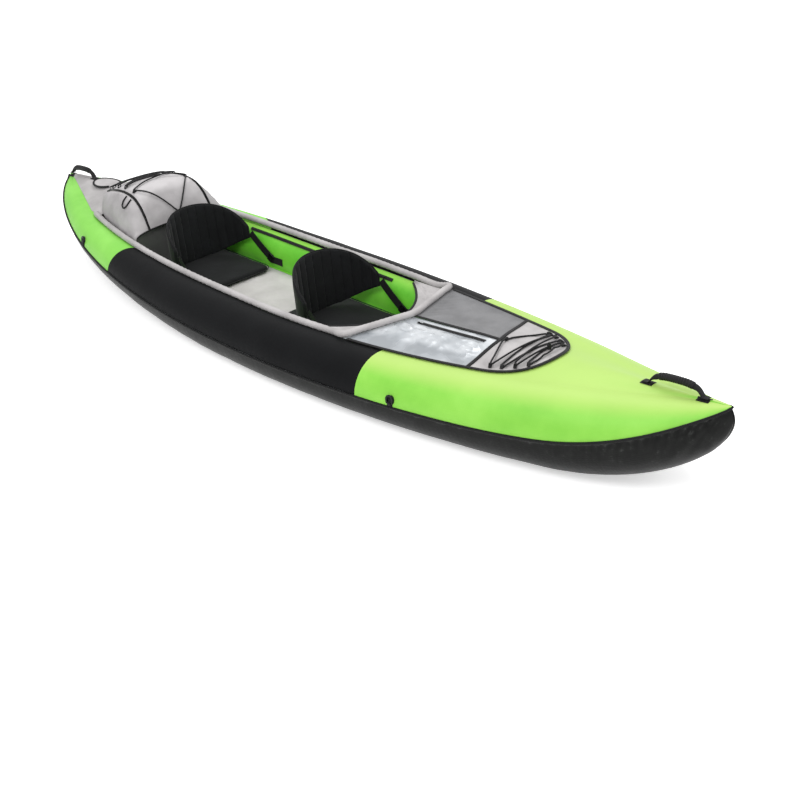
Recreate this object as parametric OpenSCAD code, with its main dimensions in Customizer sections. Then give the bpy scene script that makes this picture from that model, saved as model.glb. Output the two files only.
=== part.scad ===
// Two-person inflatable kayak: cloth covers over two side tubes and an air floor,
// a laced bow deck, a domed stern stowage cover, two seats, carry handles and tie-down rings.
// Frame: +X to the bow, +Y to port, +Z up, origin under the middle of the flat bottom.

/* [Hull] */
// Length from bow to stern
hull_len = 3820; // [3500:10:4100]
// Greatest width over the side tubes
beam = 950; // [900:5:1000]
// Height of a side tube amidships
tube_h = 250; // [240:1:260]
// Rise of the tube tops from amidships to the bow
bow_rise = 122; // [90:1:150]
// Rise of the tube tops from amidships to the stern
stern_rise = 88; // [60:1:110]
// Height of the bow foot above the flat bottom
bow_rocker = 315; // [280:1:330]
// Height of the stern foot above the flat bottom
stern_rocker = 250; // [220:1:270]
// Half width left at the very tips
tip_half_w = 4; // [4:1:10]
// Thickness of the cover cloth
cloth_t = 3; // [2:0.5:4]
// Clearance between layers that lie on each other
layer_gap = 0.3; // [0.2:0.1:0.6]
// Radius of the piping along the outer seam
piping_r = 4; // [3:0.5:5]
// Rise of the bow cover over the tube tops at its middle
bow_crown = 22; // [10:1:30]
// Rise of the stern deck over the tube tops at its middle
stern_crown = 70; // [50:1:80]

/* [Colour panels] */
// Where the black side panel ends at the bow
panel_bow_x = 655; // [600:5:700]
// Where the black starboard panel ends at the stern, at the seam
panel_stern_x = -983; // [-1050:1:-900]
// How far that end leans forward at the top of the starboard tube
panel_lean_starboard = 65; // [0:5:150]
// How far that end leans forward at the top of the port tube
panel_lean_port = 330; // [0:5:350]

/* [Floor] */
// Height of the air floor
floor_h = 87; // [70:1:95]
// Count of the long channels in the air floor
floor_channels = 5; // [3:1:7]
// Depth of the grooves between those channels
floor_groove = 10; // [4:1:14]

/* [Cockpit] */
// Thickness of the padded rim roll
rim_d = 28; // [22:1:32]
// Place of the rim's front corners
rim_corner_x = 462; // [440:1:480]
// Place of the rim's front point
rim_apex_x = 556; // [530:1:580]
// Place of the rim's stern ends
rim_stern_x = -1335; // [-1360:1:-1300]
// Place of the collar's inner edge on the middle line
collar_x = 478; // [465:1:485]
// How far the collar's inner edge runs aft at the sides
collar_depth = 190; // [180:1:200]
// Height of the collar's inner edge
collar_z = 244; // [235:1:250]
// Thickness of the binding on the collar's inner edge
collar_binding_d = 8; // [6:0.5:10]

/* [Bow deck] */
// Place of the rounded front of the deck
deck_tip_x = 1245; // [1200:5:1280]
// Place of the cross band
cross_band_x = 985; // [950:5:1010]
// How far the cross band's starboard end lies ahead of its middle
cross_skew = 60; // [0:5:70]
// Distance of the deck edge from the crest of the tube
deck_inset = 20; // [15:1:30]
// Width of the bindings and bands
band_w = 14; // [10:1:18]
// Place of the map pocket's zip beside the middle line
map_zip_y = 40; // [30:1:60]
// Width of a zip's tape
zip_w = 16; // [12:1:20]
// Diameter of the elastic cord
bungee_d = 5; // [4:0.5:6]

/* [Stern cover] */
// Place of the front of the domed cover
dome_front_x = -950; // [-970:1:-945]
// Place of the aft end of the domed cover
dome_aft_x = -1430; // [-1445:1:-1400]
// Greatest height of the domed cover above the flat bottom
dome_z = 475; // [440:1:490]
// Height of the front edge above the flat bottom
dome_front_z = 318; // [305:1:330]
// Angle of the side seams round the dome
dome_seam_a = 52; // [45:1:60]
// Length of the oval stern flap
flap_len = 157; // [140:1:160]
// Width of the oval stern flap
flap_w = 120; // [100:1:130]
// Place of the flap's hinge
flap_hinge_x = -1480; // [-1490:1:-1475]

/* [Seats] */
// Place of the front seat's hinge
front_seat_x = -16; // [-40:1:10]
// Distance of the rear seat's hinge ahead of the dome's front
rear_seat_ahead = 70; // [60:1:90]
// Length of a seat pad
pad_len = 434; // [400:1:450]
// How far the pad reaches behind its hinge
pad_behind = 108; // [90:1:115]
// Width of a seat pad
pad_w = 404; // [380:1:412]
// Thickness of a seat pad at its sides
pad_t = 22; // [16:1:30]
// Crown of a seat pad
pad_crown = 7; // [3:1:10]
// Half width of a backrest
back_half_w = 205; // [190:1:207]
// Depth of the curve of a backrest
back_depth = 185; // [160:1:200]
// Height of a backrest
back_h = 248; // [220:1:270]
// Thickness of a backrest
back_t = 20; // [14:1:24]
// Count of the padded ribs of a backrest
back_ribs = 14; // [8:1:18]
// Width of the seat webbing
strap_w = 30; // [20:1:32]

/* [Handles and rings] */
// Length of a carry handle
handle_len = 206; // [180:1:230]
// Height of a carry handle
handle_h = 28; // [24:1:40]
// Diameter of the rubber grip
grip_d = 24; // [18:0.5:26]
// Distance of the bow handle's middle from the bow tip
bow_handle_in = 198; // [190:1:220]
// Distance of the stern handle's middle from the stern tip
stern_handle_in = 140; // [135:1:160]
// Inner diameter of a tie-down ring
ring_id = 20; // [16:1:22]
// Width of a tie-down ring's band
ring_band = 6; // [4:0.5:7]
// Thickness of a tie-down ring
ring_t = 5; // [4:0.5:6]
// Place of the bow rings
bow_ring_x = 815; // [780:5:840]
// Place of the stern rings
stern_ring_x = -1275; // [-1300:5:-1240]

/* [Valves] */
// Radius of a valve's flange
valve_r = 24; // [20:1:28]
// Height of a valve's neck
valve_neck_h = 9; // [7:1:12]
// Radius of a valve cap
valve_cap_r = 17; // [15:1:19]

/* [Hidden] */

lime = "#8de064";
black = "#2a2b2e";
tarpaulin = "#3a3a3c";
pale_grey = "#c9c7c5";
clear_grey = "#d5dade";
mesh_grey = "#8c8c8e";

half_len = hull_len / 2;
rear_seat_x = dome_front_x + rear_seat_ahead;

// Plan, sheer and rocker curves of the hull
bow_plan = [1.8, 0.62];
stern_plan = [2.46, 0.71];
sheer_pow = 2.2;
bow_rocker_curve = [0.72, 1.9];
stern_tube_curve = [0.1, 1.4];
stern_keel_curve = [0.42, 2.2];
least_crest = 1.5;

function along(x) = min(1, abs(x) / half_len);
function plan_of(x) = x > 0 ? bow_plan : stern_plan;
function half_beam(x) = tip_half_w
    + (beam / 2 - tip_half_w) * pow(1 - pow(along(x), plan_of(x)[0]), plan_of(x)[1]);
function sheer(x) = tube_h + (x > 0 ? bow_rise : stern_rise) * pow(along(x), sheer_pow);
function rocker(x, curve, rise) =
    let (w = max(0, min(1, (along(x) - curve[0]) / (1 - curve[0]))))
    rise * (1 - pow(1 - pow(w, curve[1]), 1 / curve[1]));
function tube_low(x) = x > 0
    ? rocker(x, bow_rocker_curve, bow_rocker)
    : rocker(x, stern_tube_curve, stern_rocker);
function keel(x) = x > 0 ? tube_low(x) : rocker(x, stern_keel_curve, stern_rocker);

// Side tube section: an ellipse with its centre at (crest_y, tube_zc)
function tube_rz(x) = (sheer(x) - tube_low(x)) / 2;
function tube_ry(x) = min(tube_rz(x), half_beam(x) - least_crest);
function crest_y(x) = half_beam(x) - tube_ry(x);
function tube_zc(x) = (sheer(x) + tube_low(x)) / 2;
function cloth(x) = min(cloth_t, tube_ry(x) / 2);

// Outer seam: its angle round the tube, above the widest point towards the tips
seam_mid = 0.494;
seam_bow = 0.88;
seam_stern = 0.95;
seam_pow = 7.3;
function seam_share(x) = seam_mid
    + ((x > 0 ? seam_bow : seam_stern) - seam_mid) * pow(along(x), seam_pow);
function seam_a(x) = asin(2 * seam_share(x) - 1);
seam_gap_most = 20;
seam_slack = 2;
function seam_gap_a(x) = min(seam_gap_most, (piping_r + seam_slack) / tube_ry(x) * 180 / PI);

// A point on the port tube at angle a (0 outboard, 90 crest, 180 inboard), pushed out by off
function skin(x, a, off = 0) = [x, crest_y(x) + (tube_ry(x) + off) * cos(a),
    tube_zc(x) + (tube_rz(x) + off) * sin(a)];

// Crown of the decks over the tube crests
crown_from = 400;
crown_full = 900;
crown_fall = 1300;
stern_crown_x = -1400;
stern_crown_pow = 0.6;
function crown(x) = x > 0
    ? bow_crown * max(0, min(1, (x - crown_from) / (crown_full - crown_from)))
        * (1 - pow(max(0, x - crown_fall) / (half_len - crown_fall), 2))
    : stern_crown * pow(min(1, (half_len + x) / (half_len + stern_crown_x)), stern_crown_pow);
function top_z(x, y) = abs(y) < crest_y(x)
    ? sheer(x) + crown(x) * (1 + cos(180 * abs(y) / crest_y(x))) / 2
    : tube_zc(x) + tube_rz(x) * sqrt(max(0, 1 - pow((abs(y) - crest_y(x)) / tube_ry(x), 2)));

// Lists, rings and lofts
function span(a, b, n) = [for (i = [0 : n]) a + (b - a) * i / n];
function reversed(l) = [for (i = [len(l) - 1 : -1 : 0]) l[i]];
function to_starboard(l) = [for (p = l) [p[0], -p[1], p[2]]];
function unit(v) = v / norm(v);
function total(v, i = 0, s = 0) = i == len(v) ? s : total(v, i + 1, s + v[i]);
function mix(a, b, k) = a + (b - a) * k;
tip_pow = 2.2;
function toward_tip(a, b, n) = [for (i = [0 : n]) a + (b - a) * (1 - pow(1 - i / n, tip_pow))];
function volume6(p, f) = total([for (t = f) p[t[0]] * cross(p[t[1]], p[t[2]])]);

// A closed solid through rings of equal count; each end is closed by pairs of opposite points
module loft(rings) {
    n = len(rings);
    k = len(rings[0]);
    pts = [for (r = rings) each r];
    sides = [for (i = [0 : n - 2], j = [0 : k - 1])
        let (a = i * k + j, b = i * k + (j + 1) % k, c = a + k, d = b + k)
        each [[a, b, d], [a, d, c]]];
    ends = [for (e = [0, (n - 1) * k], j = [0 : k / 2 - 2])
        let (a = e + j, b = e + j + 1, c = e + k - 2 - j, d = e + k - 1 - j)
        each e == 0 ? [[a, c, b], [a, d, c]] : [[a, b, c], [a, c, d]]];
    faces = concat(sides, ends);
    out = volume6(pts, faces) > 0;
    polyhedron(pts, [for (f = faces) out ? [f[2], f[1], f[0]] : f]);
}

// A sheet of cloth: each ring runs along the outer face and back along the inner face
function sheet_ring(outer, inner) = concat(outer, reversed(inner));

// A round cord or roll through points; r is one radius or one for each point
function way(p, i) = unit(p[min(i + 1, len(p) - 1)] - p[max(i - 1, 0)]);
function tube_rings(p, r, n, up = [0, 0, 1]) = [for (i = [0 : len(p) - 1])
    let (t = way(p, i), s = unit(cross(t, up)), u = cross(s, t), q = is_list(r) ? r[i] : r)
    [for (k = [0 : n - 1]) p[i] + q * (cos(360 * (k + 0.5) / n) * s + sin(360 * (k + 0.5) / n) * u)]];
// A flat band through points, w wide and t thick, its face turned to up
function band_rings(p, w, t, up = [0, 0, 1]) = [for (i = [0 : len(p) - 1])
    let (d = way(p, i), s = unit(cross(d, up)) * w / 2, u = unit(cross(s, d)) * t / 2)
    [p[i] - s - u, p[i] + s - u, p[i] + s + u, p[i] - s + u]];

// Hull shell
hull_steps = 11;
bottom_steps = 5;
bottom_a = -78;
bottom_lift_a = 25;
bottom_lift_h = 60;
keel_share = 0.45;
function both_ways(aft, fore) = concat(reversed(aft), [for (i = [1 : len(fore) - 1]) fore[i]]);
function hull_x(n) = both_ways(toward_tip(0, -half_len, n), toward_tip(0, half_len, n));
function keel_y(x) = max(least_crest / 2, crest_y(x) - keel_share * tube_ry(x));
function bottom_end_a(x) = bottom_a + bottom_lift_a * min(1, (tube_low(x) - keel(x)) / bottom_lift_h);
nose_bulge = 16;
nose_bulge_pow = 30;
function nose_push(x, k) = [x > 0 ? nose_bulge * pow(along(x), nose_bulge_pow) * sin(180 * k) : 0, 0, 0];
function bottom_half(x, off) = let (a0 = seam_a(x) - seam_gap_a(x), n = bottom_steps)
    concat([for (i = [0 : n]) skin(x, mix(a0, bottom_end_a(x), i / n), -off) + nose_push(x, i / (n + 1))],
        [[x, keel_y(x), keel(x) + off]]);
function bottom_line(x, off) = let (h = bottom_half(x, off)) concat(to_starboard(h), reversed(h));
module bottom_hull() color(tarpaulin)
    loft([for (x = hull_x(hull_steps)) sheet_ring(bottom_line(x, 0), bottom_line(x, cloth(x)))]);

// Air chambers: sealed tubes inside the covers, flattened where they meet on the middle line
chamber_reach = 0.975;
chamber_sides = 12;
chamber_steps = 8;
chamber_slack = 7;
floor_slack = 5;
function chamber_ring(x) = [for (k = [0 : chamber_sides - 1])
    let (p = skin(x, 90 + 360 * (k + 0.5) / chamber_sides, -min(cloth_t + chamber_slack, tube_ry(x) / 2)))
    [x, max(layer_gap, p[1]), p[2]]];
chamber_end = chamber_reach * half_len;
module chamber() loft([for (x = both_ways(span(0, -chamber_end, chamber_steps),
    span(0, chamber_end, chamber_steps))) chamber_ring(x)]);
module port_air_chamber() color("white") chamber();
module starboard_air_chamber() color("white") mirror([0, 1, 0]) chamber();

// Air floor and its cloth cover between the tubes
floor_stern_x = -1260;
floor_bow_x = 1200;
floor_steps = 12;
channel_points = 4;
function floor_top(x) = keel(x) + cloth_t + layer_gap + floor_h;
function inboard_y(x, z) = crest_y(x)
    - tube_ry(x) * sqrt(max(0, 1 - pow((z - tube_zc(x)) / tube_rz(x), 2)));
function floor_half_w(x) = inboard_y(x, floor_top(x)) - floor_slack;
function groove(k) = floor_groove * (1 - abs(sin(180 * floor_channels * k)));
function floor_line(x, z, dir) = [for (k = span(0, 1, floor_channels * channel_points))
    [x, floor_half_w(x) * (2 * k - 1), z - dir * groove(k)]];
module floor_air_chamber() color("white")
    loft([for (x = span(floor_stern_x, floor_bow_x, floor_steps))
        sheet_ring(floor_line(x, floor_top(x), 1), floor_line(x, keel(x) + cloth_t + floor_slack, -1))]);
function floor_cover_line(x, z) = [for (k = span(-1, 1, 4)) [x, floor_half_w(x) * k, z]];
module floor_cover() color(pale_grey)
    loft([for (x = span(floor_stern_x, floor_bow_x, floor_steps))
        sheet_ring(floor_cover_line(x, floor_top(x) + layer_gap + cloth_t),
            floor_cover_line(x, floor_top(x) + layer_gap))]);
function floor_face(x) = floor_top(x) + layer_gap + cloth_t;

// Side covers: from the seam over the crest to the rim
rim_a = 106;
cover_a = 112;
wall_a = 114;
cover_steps = 7;
panel_gap = 0.4;
function panel_point(u, k, xa, xb, off) =
    let (x = mix(xa, xb, u), a0 = seam_a(x) + seam_gap_a(x))
    skin(x, mix(a0, cover_a, k), -off);
function side_ring(u, xa0, lean, xb0, lean_b, off) =
    [for (k = span(0, 1, cover_steps)) panel_point(u, k, xa0 + lean * k, xb0 + lean_b * k, off)];
module side_cover(xa, lean_a, xb, lean_b, steps) loft([for (u = span(0, 1, steps)) sheet_ring(
    side_ring(u, xa, lean_a, xb, lean_b, 0), side_ring(u, xa, lean_a, xb, lean_b, cloth_t))]);
mid_steps = 9;
module port_mid_panel() color(black)
    side_cover(panel_stern_x, panel_lean_port, panel_bow_x, 0, mid_steps);
module starboard_mid_panel() color(black) mirror([0, 1, 0])
    side_cover(panel_stern_x, panel_lean_starboard, panel_bow_x, 0, mid_steps);

// Inner walls of the cockpit, from under the rim down to the floor
wall_stern_x = -1250;
wall_bow_x = 1140;
wall_steps = 16;
wall_points = 5;
wall_most = 0.9;
function wall_drop(x) = (tube_zc(x) - floor_face(x) - layer_gap) / tube_rz(x);
function wall_low_a(x) = 180 + asin(max(-wall_most, min(wall_most, wall_drop(x))));
function wall_line(x, off) = [for (a = span(wall_a, wall_low_a(x), wall_points)) skin(x, a, -off)];
wall_seat = 1.1;
slope_step = 5;
function wall_turn(x, a) = let (d = skin(x + slope_step, a) - skin(x - slope_step, a)) atan2(d[1], d[0]);
module inner_wall() loft([for (x = span(wall_stern_x, wall_bow_x, wall_steps))
    sheet_ring(wall_line(x, 0), wall_line(x, cloth_t))]);
module port_inner_wall() color(lime) inner_wall();
module starboard_inner_wall() color(lime) mirror([0, 1, 0]) inner_wall();

// Bow cover: two sides beside the deck and the crowned nose ahead of it
nose_x = 1150;
nose_arc = 6;
nose_crown = 4;
nose_steps = 10;
bow_side_steps = 5;
cover_tuck = 45;
function crest_line(x, y_in, n, off) = [for (i = [1 : n])
    let (y = mix(crest_y(x), y_in, i / n)) [x, y, top_z(x, y) - off]];
function cover_half(x, y_in, n, off) = let (a0 = seam_a(x) + seam_gap_a(x))
    concat([for (a = span(a0, 90, nose_arc)) skin(x, a, -off)], crest_line(x, y_in, n, off));
function cover_across(x, off) = round_trip(cover_half(x, 0, nose_crown, off));
module across(xs) loft([for (x = xs) sheet_ring(cover_across(x, 0), cover_across(x, cloth(x)))]);
module cover_side(xs, tuck) loft([for (x = xs) sheet_ring(
    cover_half(x, crest_y(x) - tuck, 2, 0), cover_half(x, crest_y(x) - tuck, 2, cloth_t))]);
module bow_cover() color(lime) {
    across(toward_tip(nose_x, half_len, nose_steps));
    for (side = [0, 1])
        mirror([0, side, 0])
            cover_side(span(panel_bow_x + panel_gap, nose_x, bow_side_steps), cover_tuck);
}

// Stern cover: green sides that close at the stern tip, with a grey deck panel between them
stern_split_x = -1420;
stern_tip_in = 38;
stern_tip_x = stern_tip_in - half_len;
stern_side_steps = 6;
stern_tip_steps = 4;
stern_deck_front_x = -1340;
wedge_tip_y = 6;
wedge_wide_y = 188;
deck_points = 8;
function wedge_y(x) = min(crest_y(x) - least_crest,
    mix(wedge_tip_y, wedge_wide_y, min(1, (x - stern_tip_x) / (stern_split_x - stern_tip_x))));
module stern_side(lean) {
    side_cover(stern_split_x, 0, panel_stern_x - panel_gap, lean, stern_side_steps - 1);
    loft([for (x = span(stern_tip_x, stern_split_x, stern_side_steps))
        sheet_ring(cover_half(x, wedge_y(x), 2, 0), cover_half(x, wedge_y(x), 2, cloth_t))]);
}
module stern_cover() color(lime) {
    stern_side(panel_lean_port);
    mirror([0, 1, 0]) stern_side(panel_lean_starboard);
    across(toward_tip(stern_tip_x, -half_len, stern_tip_steps));
}
function stern_deck_line(x, off) = [for (k = span(-1, 1, deck_points))
    let (y = k * (wedge_y(x) - panel_gap)) [x, y, top_z(x, y) - off]];
module stern_deck_panel() color(pale_grey)
    loft([for (x = span(stern_tip_x, stern_deck_front_x, stern_side_steps))
        sheet_ring(stern_deck_line(x, 0), stern_deck_line(x, cloth_t))]);

// Piping along the outer seam
piping_sides = 6;
piping_out = 1.5;
module seam_piping() color(black) for (side = [0, 1]) mirror([0, side, 0])
    loft(tube_rings([for (x = hull_x(hull_steps)) skin(x, seam_a(x), piping_out)],
        [for (x = hull_x(hull_steps)) min(piping_r, tube_ry(x))], piping_sides));

// Padded rim roll round the cockpit
rim_sides = 10;
rim_side_steps = 12;
rim_r = rim_d / 2;
deck_lift = 1.4;
deck_t = cloth_t + deck_lift;
rim_front_steps = 4;
function rim_side(x) = skin(x, rim_a, rim_r + layer_gap);
rim_corner_in = 8;
function rim_corner_y() = crest_y(rim_corner_x) - rim_corner_in;
function rim_front(k) = let (x = mix(rim_corner_x, rim_apex_x, k), y = mix(rim_corner_y(), 0, k))
    [x, y, top_z(x, y) + deck_t + layer_gap + rim_r];
rim_bend_x = 60;
function round_trip(half) = concat(to_starboard(half), [for (i = [len(half) - 2 : -1 : 0]) half[i]]);
rim_half = concat([for (x = span(rim_stern_x, rim_corner_x - rim_bend_x, rim_side_steps)) rim_side(x)],
    [for (k = span(0, 1, rim_front_steps)) rim_front(k)]);
rim_path = round_trip(rim_half);
module cockpit_rim() color(pale_grey) loft(tube_rings(rim_path, rim_r, rim_sides));

// Splash collar: a sloped crescent from the rim's front down to a bound edge
collar_steps = 20;
collar_points = 4;
collar_sag = 10;
collar_turn = 0.6;
collar_side_x = 290;
rim_clear = 0;
function collar_half_w(x) = rim_side(x)[1] - rim_r - rim_clear;
function collar_inner_y() = collar_half_w(collar_side_x) - collar_binding_d;
function collar_in(s) = [collar_x - collar_depth * s * s, collar_inner_y() * s, collar_z];
function collar_side(s) = -unit([collar_inner_y(), 2 * collar_depth * s, 0]);
function collar_out(s) = let (v = abs(s) / collar_turn, k = min(1, v),
        q = max(0, (abs(s) - collar_turn) / (1 - collar_turn)),
        x = mix(mix(rim_apex_x, rim_corner_x, k), collar_side_x, q) - (rim_r + rim_clear) * (1 - q),
        y = mix(0, collar_half_w(rim_corner_x - rim_bend_x), k))
    [x, sign(s) * min(y, collar_half_w(min(x, rim_corner_x - rim_bend_x))),
        sheer(x) + crown(x) + deck_t];
function collar_point(s, k, off) = mix(collar_out(s), collar_in(s), k)
    - [0, 0, collar_sag * sin(180 * k) * (1 - s * s) + off];
module splash_collar() color(pale_grey) loft([for (s = span(-1, 1, collar_steps))
    sheet_ring([for (k = span(0, 1, collar_points)) collar_point(s, k, 0)],
        [for (k = span(0, 1, collar_points)) collar_point(s, k, cloth_t)])]);
module collar_binding() color(black)
    loft(tube_rings([for (s = span(-1, 1, collar_steps))
        collar_in(s) + (collar_binding_d / 2 + layer_gap) * collar_side(s) - [0, 0, cloth_t / 2]],
        collar_binding_d / 2, piping_sides));

// Bow deck: mesh to port, clear map pocket to starboard, laced panel at the tip
deck_round = 190;
deck_round_pow = 2.6;
deck_panel_steps = 6;
deck_panel_points = 5;
function deck_edge_y(x) = crest_y(x) - deck_inset;
function deck_tip_y(x) = let (k = max(0, (x - deck_tip_x + deck_round) / deck_round))
    max(least_crest, deck_edge_y(x) * sqrt(max(0, 1 - pow(k, deck_round_pow))));
function rim_line_x(y) = mix(rim_apex_x, rim_corner_x, min(1, abs(y) / rim_corner_y()));
function deck_spot(u, k, skew) =
    let (xe = mix(rim_line_x(deck_edge_y(rim_corner_x)), cross_band_x - skew, u),
        y = mix(band_w / 2, deck_edge_y(xe) - band_w / 2, k),
        x = mix(rim_line_x(y), cross_band_x - skew * k - band_w / 2, u))
    [x, y, top_z(x, y) + deck_lift];
function deck_row(u, skew, up) =
    [for (k = span(0, 1, deck_panel_points)) deck_spot(u, k, skew) + [0, 0, up]];
module deck_half(skew) loft([for (u = span(0, 1, deck_panel_steps))
    sheet_ring(deck_row(u, skew, cloth_t), deck_row(u, skew, 0))]);
module mesh_panel() color(mesh_grey) deck_half(cross_skew);
module map_pocket() color(clear_grey) mirror([0, 1, 0]) deck_half(-cross_skew);
tip_from = cross_band_x + band_w / 2;
tip_to = deck_tip_x - band_w / 2;
tip_panel_steps = 7;
function tip_row(x, up) = [for (k = span(-1, 1, deck_points))
    let (q = x - cross_skew * k * (tip_to - x) / (tip_to - tip_from),
        y = k * max(least_crest, deck_tip_y(q) - band_w / 2))
    [q, y, top_z(q, y) + deck_lift + up]];
module bow_deck_panel() color(pale_grey)
    loft([for (x = toward_tip(tip_from, tip_to, tip_panel_steps))
        sheet_ring(tip_row(x, cloth_t), tip_row(x, 0))]);

// Bindings: the deck's edge, its middle band and its cross band
binding_t = 2.5;
binding_lift = deck_t + 1;
edge_steps = 7;
tip_steps = 8;
function edge_spot(x, y) = [x, y, top_z(x, y) + binding_lift + binding_t / 2];
edge_half = concat([for (x = span(rim_corner_x + rim_d, deck_tip_x - deck_round, edge_steps))
        edge_spot(x, deck_edge_y(x))],
    [for (i = [1 : tip_steps])
        let (x = mix(deck_tip_x - deck_round, deck_tip_x, sin(90 * i / tip_steps)))
        edge_spot(x, i == tip_steps ? 0 : deck_tip_y(x))]);
edge_path = round_trip(edge_half);
mid_band_steps = 5;
cross_band_steps = 8;
function cross_band(k) = let (x = cross_band_x - cross_skew * k)
    edge_spot(x, k * (deck_edge_y(x) - band_w / 2));
module band(path) loft(band_rings(path, band_w - 2 * panel_gap, binding_t));
module deck_binding() color(black) {
    band(edge_path);
    band([for (x = span(rim_apex_x + rim_d, cross_band_x - band_w / 2, mid_band_steps)) edge_spot(x, 0)]);
    band([for (k = span(-1, 1, cross_band_steps)) cross_band(k)]);
}

// Map pocket zip: its tape lies on the pocket, and the slider runs along it
map_zip_lift = 0.8;
zip_t = 2;
map_zip_from = 612;
map_zip_short = 40;
map_zip_to = cross_band_x - map_zip_short;
map_run_share = 0.8;
slider_len = 14;
slider_w = 9;
slider_t = 4;
slider_park = 20;
pull_len = 26;
pull_t = 1.5;
function map_zip_spot(x) = [x, -map_zip_y, top_z(x, map_zip_y) + deck_t + map_zip_lift + zip_t / 2];
module map_pocket_zip() color(black)
    loft(band_rings([for (x = span(map_zip_from, map_zip_to, mid_band_steps)) map_zip_spot(x)],
        zip_w, zip_t));
map_a = map_zip_spot(map_zip_from);
map_b = map_zip_spot(mix(map_zip_from, map_zip_to, map_run_share));
map_tilt = atan2(map_b[2] - map_a[2], map_b[0] - map_a[0]);
slider_lift = 2.4;
module slider_body() {
    translate([-slider_len / 2, -slider_w / 2, 0]) cube([slider_len, slider_w, slider_t]);
    translate([-slider_len / 2 - pull_len, -slider_w / 4, slider_t / 2])
        cube([pull_len, slider_w / 2, pull_t]);
}
module map_zip_slider() color("silver")
    translate(map_a + [slider_park, 0, zip_t / 2 + slider_lift])
        rotate([0, -map_tilt, 0]) slider_body();

// Elastic lacing over the deck tip, through webbing tabs at its edge
lace_x = [1078, 1118, 1158, 1192];
tab_size = [22, 14, 3];
lace_in = 31;
tab_lift = 2;
lace_points = 4;
bungee_sides = 8;
cord_lock_x = 1204;
function lace_tab(i, side) = let (x = lace_x[i], y = side * (deck_tip_y(x) - lace_in)) [x, y];
function on_deck(p, up) = [p[0], p[1], top_z(p[0], p[1]) + deck_t + up];
bungee_up = tab_lift + tab_size[2] + bungee_d / 2 + 2 * layer_gap;
lace_start_x = 1036;
lace_turn_y = 30;
lace_route = [[lace_start_x, bungee_d], lace_tab(0, 1), lace_tab(1, -1), lace_tab(2, 1), lace_tab(3, -1),
    [cord_lock_x, -lace_turn_y], [cord_lock_x, lace_turn_y],
    lace_tab(3, 1), lace_tab(2, -1), lace_tab(1, 1), lace_tab(0, -1), [lace_start_x, -bungee_d]];
lace_half = 5;
lace_rise = 1;
function route_points(r, n) = concat(
    [for (i = [0 : len(r) - 2], j = [0 : n - 1]) mix(r[i], r[i + 1], j / n)], [r[len(r) - 1]]);
cross_lift = bungee_d + layer_gap;
lace_flat = route_points(lace_route, lace_points);
function lace_up(i) = min(1, max(0, (i - lace_half * lace_points) / lace_rise)) * cross_lift;
module bow_bungee() color(black)
    loft(tube_rings([for (i = [0 : len(lace_flat) - 1]) on_deck(lace_flat[i], bungee_up + lace_up(i))],
        bungee_d / 2, bungee_sides));
lace_tab_turn = 60;
module tab_at(p, turn) translate(p) rotate(turn)
    translate([-tab_size[0] / 2, -tab_size[1] / 2, 0]) cube(tab_size);
module bow_lace_tabs() color(black) for (i = [0 : len(lace_x) - 1], side = [-1, 1])
    tab_at(on_deck(lace_tab(i, side), tab_lift), [0, 0, side * lace_tab_turn]);

// Cord lock on the lacing, with a sprung button
lock_d = 16;
lock_h = 20;
button_d = 9;
button_up = 7;
button_travel = 4;
lock_clear = 0.3;
lock_seat = on_deck([cord_lock_x, 0], bungee_up + bungee_d / 2 + cross_lift + layer_gap);
module cord_lock_body() color(black) translate(lock_seat) difference() {
    cylinder(d = lock_d, h = lock_h, $fn = 32);
    translate([0, 0, lock_h - button_travel - button_up])
        cylinder(d = button_d + 2 * lock_clear, h = lock_h, $fn = 32);
}
module cord_lock_button() color(black) translate(lock_seat + [0, 0, lock_h - button_up + lock_clear])
    cylinder(d = button_d, h = 2 * button_up, $fn = 32);

// Domed stern cover: laced top, two side panels, piping, pull loop and the black drop panel in front
dome_top_points = 8;
dome_side_points = 3;
dome_peak_share = 0.604;
dome_taper_share = 0.375;
function dome_at(k) = mix(dome_aft_x, dome_front_x, k);
dome_peak_x = dome_at(dome_peak_share);
dome_taper_x = dome_at(dome_taper_share);
dome_inset = 5;
dome_taper = 0.75;
dome_rise_pow = 1.6;
dome_front_pow = 3.2;
dome_gap_a = 2;
dome_tab_lift = 5.4;
dome_tail = 50;
dome_draw_in = 0.4;
dome_full = 0.76;
dome_side_steps = 6;
function dome_w(x) = let (k = max(0, (dome_taper_x - x) / (dome_taper_x - dome_aft_x + dome_tail)))
    (rim_side(max(x, rim_stern_x))[1] - rim_r - dome_inset - max(0, rim_stern_x - x) * dome_draw_in)
        * sqrt(1 - dome_taper * k * k);
function dome_base(x) = top_z(x, dome_w(x)) + layer_gap + cloth_t;
function dome_end_z() = sheer(dome_aft_x) + crown(dome_aft_x) + 2 * cloth_t;
function dome_apex(x) = x < dome_peak_x
    ? mix(dome_z, dome_end_z(), pow((dome_peak_x - x) / (dome_peak_x - dome_aft_x), dome_rise_pow))
    : mix(dome_z, dome_front_z, pow((x - dome_peak_x) / (dome_front_x - dome_peak_x), dome_front_pow));
function dome_spot(x, b, off) =
    [x, -(dome_w(x) + off) * sign(cos(b)) * pow(abs(cos(b)), dome_full),
        dome_base(x) + (dome_apex(x) - dome_base(x) + off) * pow(abs(sin(b)), dome_full)];
dome_x = concat(span(dome_aft_x, dome_peak_x, dome_side_steps),
    [for (i = [1 : dome_side_steps]) mix(dome_peak_x, dome_front_x, sin(90 * i / dome_side_steps))]);
module dome_panel(b0, b1, n) loft([for (x = dome_x) sheet_ring(
    [for (b = span(b0, b1, n)) dome_spot(x, b, 0)],
    [for (b = span(b0, b1, n)) dome_spot(x, b, -cloth_t)])]);
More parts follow.
